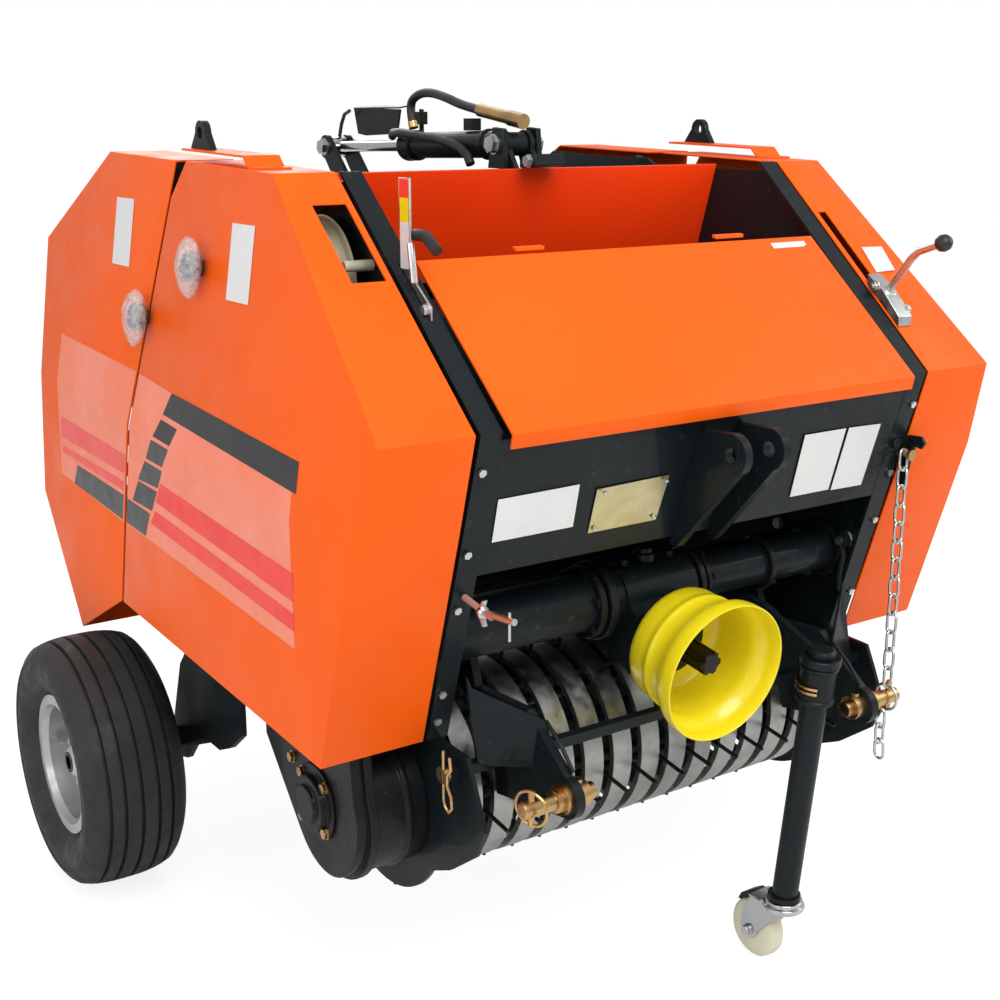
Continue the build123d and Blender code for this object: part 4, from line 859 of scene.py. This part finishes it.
# %% Add collars, gussets and bolts
drive = (-405.0, 598.0)
form = bmesh.new()
collar_table = (
    # x of the left face, width, radius
    (-346.0, 8.0, 47.0),
    (-112.0, 10.0, 50.0),
    (-98.0, 12.0, 54.0),
    (66.0, 10.0, 46.0),
    (82.0, 8.0, 42.0),
    (206.0, 9.0, 40.0),
    (338.0, 8.0, 42.0),
)
for x, width, radius in collar_table:
    add_turned(form, at(x, *drive), x_axis, bevelled(width, radius, 1.5), 48)
for x, way, ring in ((-112.0, -1.0, 43.0), (90.0, 1.0, 36.0)):
    for place in circle(at(x, *drive), x_axis, ring, 6):
        add_screw(form, place, x_axis * way, 7.0, washer=False)
for x in (-40.0, 40.0):
    add_screw(form, at(x, drive[0], drive[1] + 41.0), z_axis, 9.0)
breather = ((0, 16.0), (10.0, 16.0), (12.0, 12.0), (18.0, 12.0))
add_turned(form, at(0.0, drive[0] + 4.0, drive[1] + 40.0), z_axis, breather, 24)
add_piece("drive_collars", form, black_paint, "frame")

form = bmesh.new()
for sign in side_of.values():
    corners = ((332, -460, 562), (326, -464, 545), (250, -522, 502), (262, -506, 438), (332, -484, 452))
    add_plate(form, [at(sign * x, y, z) for x, y, z in corners], Vector((0, -5.0, -1.0)) * mm)
    stiffener = ((252, -522, 503), (252, -556, 480), (252, -580, 455))
    add_rod(form, [at(sign * x, y, z) for x, y, z in stiffener], 3.0, 8)
add_piece("arm_gussets", form, slate, "frame", edge=1.0)

form = bmesh.new()
plate_face = 349.8
for y, z in ((-428.0, 611.0), (-310.0, 614.0), (-349.0, 605.0), (-374.0, 555.0), (-300.0, 520.0)):
    for sign in (1.0, -1.0):
        add_screw(form, at(sign * plate_face, y, z), x_axis * -sign, 9.0)
add_screw(form, at(plate_face, -451.0, 622.0), -x_axis, 13.0, proud=10.0)
flange_top_y, flange_top_z, flange_lean = -557.0, 886.0, 125.0 / 414.0
for sign in side_of.values():
    for z in (500.0, 540.0, 660.0, 735.0, 840.0):
        y = flange_top_y + (flange_top_z - z) * flange_lean
        add_screw(form, at(sign * 361.0, y, z), front_out, 6.0, washer=False)
rating_plate_rivets = ((-176, -535, 787), (-78, -535, 789), (-82, -517, 738), (-176, -516, 737))
for place in places(rating_plate_rivets):
    add_turned(form, place, front_out, ((-0.5, 3.0), (2.0, 3.0), (3.0, 1.6)), 12)
add_piece("frame_bolts", form, bright_zinc, "frame")

form = bmesh.new()
latch_route = ((338, -451, 622), (336, -458, 600), (336, -452, 570), (338, -450, 545))
add_rod(form, places(latch_route), 5.0)
add_turned(form, at(344.0, -451.0, 622.0), -x_axis, ((0, 13.0), (10.0, 13.0)), 20)
add_piece("latch_lever", form, slate, "frame")
print("added", len(collar_table), "collars")

# %% [markdown]
# ## Tension rod, gauge and lever
# The rod that sets the bale's density is thin, primed and zinc plated at its end, with a wing nut and a
# cotter pin. The gauge beside the lid has red, yellow and white fields, which show how full the chamber is.
# The engaging lever is a zinc rod in a cast clamp with a black knob.

# %% Make the small controls
primer = plastic("pink primer", (0.42, 0.22, 0.17), (0.32, 0.2, 0.17), 0.6)
form = bmesh.new()
rod_x, rod_z = -355.0, 674.0
add_rod(form, [at(rod_x, -497.0, rod_z + 3.0), at(rod_x, -556.0, rod_z - 6.0)], 4.0)
add_piece("primed_rod", form, primer, "frame", 60.0, ("tension_rod",))
form = bmesh.new()
add_rod(form, [at(rod_x, -540.0, rod_z - 4.0), at(rod_x, -602.0, rod_z + 2.0)], 4.2, 16)
add_turned(form, at(rod_x, -533.0, rod_z - 5.0), -y_axis, ((0, 7.0), (6.0, 8.0), (9.0, 6.0)), 20)
for way in (1.0, -1.0):
    wing = [(rod_x - 4, -536, rod_z + way * 4), (rod_x + 4, -536, rod_z + way * 4)]
    wing += [(rod_x + 3, -542, rod_z + way * 16), (rod_x - 3, -542, rod_z + way * 16)]
    add_plate(form, [at(x, y, z - 5) for x, y, z in wing], Vector((0, 3.0, 0)) * mm)
add_rod(form, [at(rod_x, -592.0, rod_z + 11.0), at(rod_x, -592.0, rod_z - 24.0)], 1.6, 8)
add_piece("wing_nut", form, bright_zinc, "frame")

gauge_x = -354.0
form = bmesh.new()
gauge_outline = [
    (-360, 1160), (-386, 1160), (-386, 1050), (-396, 1040), (-431, 1014), (-431, 998), (-415, 1012),
    (-360, 1060),
]
add_sheet(form, gauge_x, gauge_outline, -2.5)
add_rod(form, [at(gauge_x - 8.0, -396.0, 1086.0), at(gauge_x - 8.0, -404.0, 1040.0)], 4.5)
add_screw(form, at(gauge_x - 2.5, -421.0, 1010.0), -x_axis, 8.0)
add_piece("gauge_strip", form, bright_zinc, "frame", stands_for=("bale_gauge",), edge=0.5)
gauge_fields = (
    # finish, low z, high z
    (sticker_red, 1137.0, 1158.0),
    (yellow, 1109.0, 1137.0),
    (paper, 1054.0, 1109.0),
)
for index, (finish, low, high) in enumerate(gauge_fields):
    form = bmesh.new()
    for x, depth in ((gauge_x - 2.6, -0.5), (gauge_x + 0.1, 0.5)):
        corners = ((-364, high), (-383, high), (-383, low), (-364, low))
        add_sheet(form, x, corners, depth)
    add_piece(f"gauge_field_{index}", form, finish, "frame")
form = bmesh.new()
gauge_handle = ((-346, -380, 1094), (-346, -404, 1094), (-346, -430, 1078))
add_rod(form, places(gauge_handle), 7.0, 12)
add_piece("gauge_end", form, hose_black, "frame")

lever_x, clamp_half = 390.0, 13.0
form = bmesh.new()
lever_route = ((-452, 974), (-480, 1010), (-500, 1036), (-512, 1047), (-548, 1060))
add_rod(form, [at(lever_x, y, z) for y, z in lever_route], 5.5, 14)
clamp = [(-434, 995.5), (-434, 1010), (-462, 992), (-497, 955), (-497, 941)]
add_sheet(form, lever_x - clamp_half, clamp, 2 * clamp_half)
add_turned(form, at(lever_x, -455, 976), slope_out, ((0, 11.0), (16.0, 11.0), (18.0, 9.0)), 24)
add_screw(form, at(lever_x + clamp_half, -484, 962), x_axis, 8.0, proud=4.0)
add_screw(form, at(lever_x - clamp_half, -450, 994), -x_axis, 8.0, proud=4.0)
add_piece("zinc_lever", form, bright_zinc, "frame", stands_for=("engage_lever",), edge=1.0)
form = bmesh.new()
knob = ((0, 6.0), (3.0, 10.0), (9.0, 12.0), (16.0, 11.0), (21.0, 7.0), (22.5, 3.0))
add_turned(form, at(lever_x, -544.0, 1058.0), Vector((0, -36.0, 13.0)), knob, 24)
add_piece("lever_knob", form, hose_black, "frame", 50.0)
print("made the small controls")

# %% [markdown]
# ## Cylinder and hoses
# The hose is a cord of its own, smooth from the gland's nipple to the coupler. It repeats the route of the
# plain tube that it stands for, and a spline with those points as its control points rounds it. The second
# hose lies along the barrel, and a plate with a thin pipe stands over the rod's clevis.

# %% Lay the hoses
hose_route = ((203, 1220), (213, 1246), (190, 1262), (152, 1266), (104, 1258), (55, 1245), (6, 1238))
hose_curve = bpy.data.curves.new("lift_hose_line", "CURVE")
hose_curve.dimensions = "3D"
hose_curve.bevel_depth = 7.0 * mm
hose_curve.bevel_resolution = 4
hose_curve.use_fill_caps = True
hose_spline = hose_curve.splines.new("NURBS")
hose_spline.points.add(len(hose_route) - 1)
for point, (y, z) in zip(hose_spline.points, hose_route):
    point.co = (*at(0.0, y, z), 1.0)
hose_spline.order_u = 3
hose_spline.use_endpoint_u = True
hose_curve.materials.append(hose_black)
hose = new_object("hose_over_barrel", hose_curve)
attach(hose, "cylinder_barrel")
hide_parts("lift_hose")
hose_exit = tuple(at(0.0, *hose_route[0]))

form = bmesh.new()
second_hose = (
    (-27, 222, 1198), (-33, 208, 1203), (-36, 180, 1204), (-36, 131, 1200), (-35, 80, 1196), (-33, 40, 1190),
    (-31, 12, 1182), (-30, -6, 1172), (-30, -14, 1160),
)
add_rod(form, places(second_hose), 7.0, 16)
add_piece("hose_along_barrel", form, hose_black, "cylinder_barrel", 60.0)

form = bmesh.new()
barrel_way = Vector((0, 547.0, -13.0)).normalized()
front_pin = at(0.0, -84.0, 1190.0)
for along, width, radius in ((268.0, 6.0, 24.0), (290.0, 10.0, 24.5), (60.0, 8.0, 23.0)):
    add_turned(form, front_pin + barrel_way * (along * mm), barrel_way, bevelled(width, radius, 1.0), 36)
add_rod(form, [at(18.0, 205.0, 1196.0), at(18.0, 205.0, 1240.0)], 4.0)
add_sheet(form, 12.0, ((194, 1236), (216, 1236), (216, 1216), (194, 1216)), 11.0)
add_sheet(form, -9.0, ((38, 1208), (16, 1208), (16, 1226), (38, 1226)), 18.0)
add_piece("barrel_fittings", form, black_paint, "cylinder_barrel", edge=0.6)

form = bmesh.new()
guard = ((461, 1243), (300, 1240), (312, 1200), (420, 1196), (447, 1199))
add_sheet(form, 33.0, guard, 4.0)
guard_top = ((33, 461, 1241), (33, 300, 1241), (49, 300, 1244), (49, 461, 1244))
add_plate(form, places(guard_top), z_axis * (2.5 * mm))
add_piece("clevis_guard", form, slate, "gate", edge=0.8)
form = bmesh.new()
pipe_route = ((22, 455, 1238), (22, 474, 1232), (22, 486, 1216), (22, 494, 1196), (22, 492, 1178))
add_rod(form, places(pipe_route), 3.2, 10)
add_piece("thin_pipe", form, hose_black, "gate", 60.0)

form = bmesh.new()
add_sheet(form, -26.0, ((-136, 1158), (-136, 1168), (-150, 1177), (-172, 1178), (-176, 1162)), 52.0)
for x in (-34.0, 26.0):
    add_sheet(form, x, ((-110, 1156), (-104, 1212), (-78, 1214), (-66, 1156)), 8.0)
add_piece("cylinder_stand", form, slate, "frame", edge=1.0)
form = bmesh.new()
for sign in side_of.values():
    add_screw(form, at(sign * 34.0, -84.0, 1190.0), x_axis * sign, 14.0)
add_screw(form, at(-26.0, -160.0, 1168.0), -x_axis, 9.0)
add_piece("front_clevis_bolt", form, bright_zinc, "frame")
form = bmesh.new()
for sign in side_of.values():
    add_screw(form, at(sign * 24.0, 463.0, 1177.0), x_axis * sign, 14.0)
add_piece("rear_clevis_bolt", form, bright_zinc, "gate")
print("laid the hoses")

# %% [markdown]
# ## Jack and caster
# The jack's sleeve has three collars, a cap and a spring clip. The caster turns on a chrome ring and has a
# brake pedal over its nylon wheel.

# %% Dress the jack and the caster
jack_x = 185.0
jack_top, jack_foot = at(jack_x, -566.0, 510.0), at(jack_x, -523.0, 124.0)
jack_way = (jack_foot - jack_top).normalized()
form = bmesh.new()
for along, width, radius in ((0.0, 12.0, 29.0), (14.0, 5.0, 27.5), (62.0, 8.0, 27.0)):
    add_turned(form, jack_top + jack_way * (along * mm), jack_way, bevelled(width, radius, 1.2), 40)
add_turned(form, jack_top - jack_way * (1.0 * mm), -jack_way, ((0, 20.0), (6.0, 20.0), (9.0, 16.0)), 32)
add_piece("sleeve_collars", form, slate, "frame")
form = bmesh.new()
clip_centre = jack_top + jack_way * (42.0 * mm)
half_ring = circle(clip_centre, jack_way, 28.0, 32)[:22]
add_rod(form, half_ring, 2.4, 10)
add_rod(form, [place + jack_way * (7.0 * mm) for place in half_ring], 2.4, 10)
add_piece("sleeve_clip", form, yellow_zinc, "frame", 60.0)

caster_pin_y, caster_axle_y, caster_z = -521.5, -471.5, 45.0
form = bmesh.new()
swivel = at(jack_x, caster_pin_y, 98.0)
swivel_profile = (
    (0, 20.0), (2.0, 29.0), (6.0, 31.0), (10.0, 30.0), (12.0, 26.0), (13.0, 27.5), (17.0, 27.0), (18.0, 23.0),
)
add_turned(form, swivel, z_axis, swivel_profile, 40)
fork_half, fork_thick = 18.0, 3.0
cheek = (
    (-24, 104), (-18, 96), (8, 78), (30, 52), (38, 36), (50, 32), (62, 38), (66, 52), (62, 82), (48, 102),
    (20, 108),
)
cheek = [(caster_pin_y + y, z) for y, z in cheek]
for sign in (-1.0, 1.0):
    add_sheet(form, jack_x + sign * fork_half, cheek, sign * fork_thick)
    add_screw(form, at(jack_x + sign * (fork_half + fork_thick), caster_axle_y, caster_z), x_axis * sign, 9.0)
fork_top = ((-21, 26, 103), (21, 26, 103), (21, 52, 101), (-21, 52, 101))
add_plate(form, [at(jack_x + x, caster_pin_y + y, z) for x, y, z in fork_top], z_axis * (fork_thick * mm))
add_piece("caster_ring", form, chrome, "fork", 40.0, ("caster_fork",), edge=0.6)
form = bmesh.new()
pedal = ((22, 104), (58, 104), (74, 94), (80, 82), (74, 82), (68, 90), (54, 98), (22, 98))
add_sheet(form, jack_x - 15.0, [(caster_pin_y + y, z) for y, z in pedal], 30.0)
add_piece("brake_pedal", form, slate, "fork", edge=0.8)
form = bmesh.new()
wheel_side = [(-15.0, 10.0), (-15.0, 30.0), (-13.0, 40.0), (-9.0, 44.0), (-4.0, 45.0)]
wheel_bore = [(9.0, 9.0), (9.0, 5.2), (-9.0, 5.2), (-9.0, 9.0)]
wheel_profile = wheel_side + mirrored(wheel_side) + wheel_bore
add_turned(form, at(jack_x, caster_axle_y, caster_z), x_axis, wheel_profile, 56, ring=True)
add_piece("round_caster_wheel", form, nylon, "caster", 45.0, ("caster_wheel",))
print("dressed the jack")

# %% [markdown]
# ## Twine wheel, lid tabs and wrapped knobs
# The twine wheel behind the window is grooved. The knobs still wear their packing film: each gets a
# crumpled, see-through bag.

# %% Turn the twine wheel and wrap the knobs
twine = (-187.0, 1022.0)
form = bmesh.new()
twine_profile = [(0, 14.0), (6.0, 16.0), (7.0, 60.0), (9.0, 84.0), (11.0, 86.0), (13.0, 84.0)]
for groove in range(4):
    twine_profile += [(14.5 + groove * 4.0, 74.0), (16.0 + groove * 4.0, 79.0)]
twine_profile += [
    (31.0, 84.0), (33.0, 86.0), (35.0, 84.0), (36.5, 62.0), (35.0, 58.0), (35.0, 20.0), (39.0, 18.0),
    (40.0, 12.0),
]
add_turned(form, at(frame_face_x, *twine), -x_axis, twine_profile, 72)
add_turned(form, at(frame_face_x, -293.0, 1052.0), -x_axis, ((0, 7.0), (39.0, 7.0), (40.0, 6.0)), 20)
add_piece("grooved_twine_wheel", form, nylon, "frame", 30.0, ("twine_wheel",))

film = Finish("packing film", (0.80, 0.80, 0.82), 0.22, coat=0.3)
wrinkles = film.noise(120.0, 5.0, 0.7)
film.feed(film.shader, {"Alpha": film.range(wrinkles, 0.35, 0.65, 0.22, 0.62)})
film.bump(wrinkles, 0.9, 0.004)
grip_profile = ((0.4, 11.0), (7.0, 11.0), (8.0, 19.0), (20.0, 20.0), (24.0, 16.0))
bag_rings, bag_depth, bag_radius = 9, 32.0, 27.0
stretch_below, stretch_above, fold_y, fold_z = 1.5, 1.3, 1.6, 1.8
bag_profile = []
for ring in range(bag_rings + 1):
    bulge = sin(radians(14.0 + 152.0 * ring / bag_rings))
    bag_profile.append((3.0 + bag_depth * ring / bag_rings, bag_radius * bulge + 2.0))
knob_table = (
    # name, body, y and z of the knob's seat
    ("front", "frame", -58.0, 1036.0),
    ("gate", "gate", 116.0, 952.0),
)
for name, body, y, z in knob_table:
    grip, bag = bmesh.new(), bmesh.new()
    for sign in side_of.values():
        seat = at(sign * side_x(y, z), y, z)
        out = Vector((sign, -0.02, 0.15)).normalized()
        add_turned(grip, seat, out, grip_profile, 24)
        add_turned(bag, seat, out, bag_profile, 22)
    for vertex in bag.verts:
        stretch = stretch_below if vertex.co.z < z * mm else stretch_above
        fold = sin(vertex.co.z * 1700.0) * cos(vertex.co.y * 1300.0)
        vertex.co.z = z * mm + (vertex.co.z - z * mm) * stretch
        vertex.co += Vector((0.0, fold * fold_y, sin(vertex.co.y * 1900.0) * fold_z)) * mm
    add_piece(f"{name}_knob_grips", grip, hose_black, body, stands_for=(f"{name}_knobs",))
    add_piece(f"{name}_knob_film", bag, film.material, body, 60.0)

form = bmesh.new()
for x0, x1 in ((-186, -141), (151, 203)):
    tab = ((x0, -358.0, 1064.5), (x1, -358.0, 1064.5), (x1, -350.0, 1065.5), (x0, -350.0, 1065.5))
    add_plate(form, places(tab), z_axis * (5.0 * mm))
add_piece("lid_tabs", form, orange, "lid", edge=0.8)
print("wrapped", 2 * len(knob_table), "knobs")

# %% [markdown]
# ## Floor
# The floor is part of the stage, not of the machine.

# %% Lay the floor
floor_mesh = bpy.data.meshes.new("floor")
floor_half = 14.0
floor_corners = [(x * floor_half, y * floor_half, -0.0005) for x, y in ((-1, -1), (1, -1), (1, 1), (-1, 1))]
floor_mesh.from_pydata(floor_corners, [], [(0, 1, 2, 3)])
floor = new_object("floor", floor_mesh)
floor_finish = Finish("white floor", (0.8, 0.8, 0.8), 0.9)
tree = floor_finish.tree
glow = tree.nodes.new("ShaderNodeEmission")
glow.inputs["Color"].default_value = (1, 1, 1, 1)
glow.inputs["Strength"].default_value = 1.36
white_share = tree.nodes.new("ShaderNodeMixShader")
camera_ray, transmission_ray, glow_share = 0, 6, 0.62
seen = floor_finish.add("ShaderNodeLightPath", output=camera_ray)
also = floor_finish.add("ShaderNodeLightPath", output=transmission_ray)
either = floor_finish.add("ShaderNodeMath", {"operation": "MAXIMUM"}, {0: seen, 1: also})
tree.links.new((either * glow_share).socket, white_share.inputs[0])
tree.links.new(floor_finish.shader.outputs[0], white_share.inputs[1])
tree.links.new(glow.outputs[0], white_share.inputs[2])
tree.links.new(white_share.outputs[0], tree.nodes["Material Output"].inputs["Surface"])
floor_mesh.materials.append(floor_finish.material)
print("floor laid")

# %% Finish
print("done")
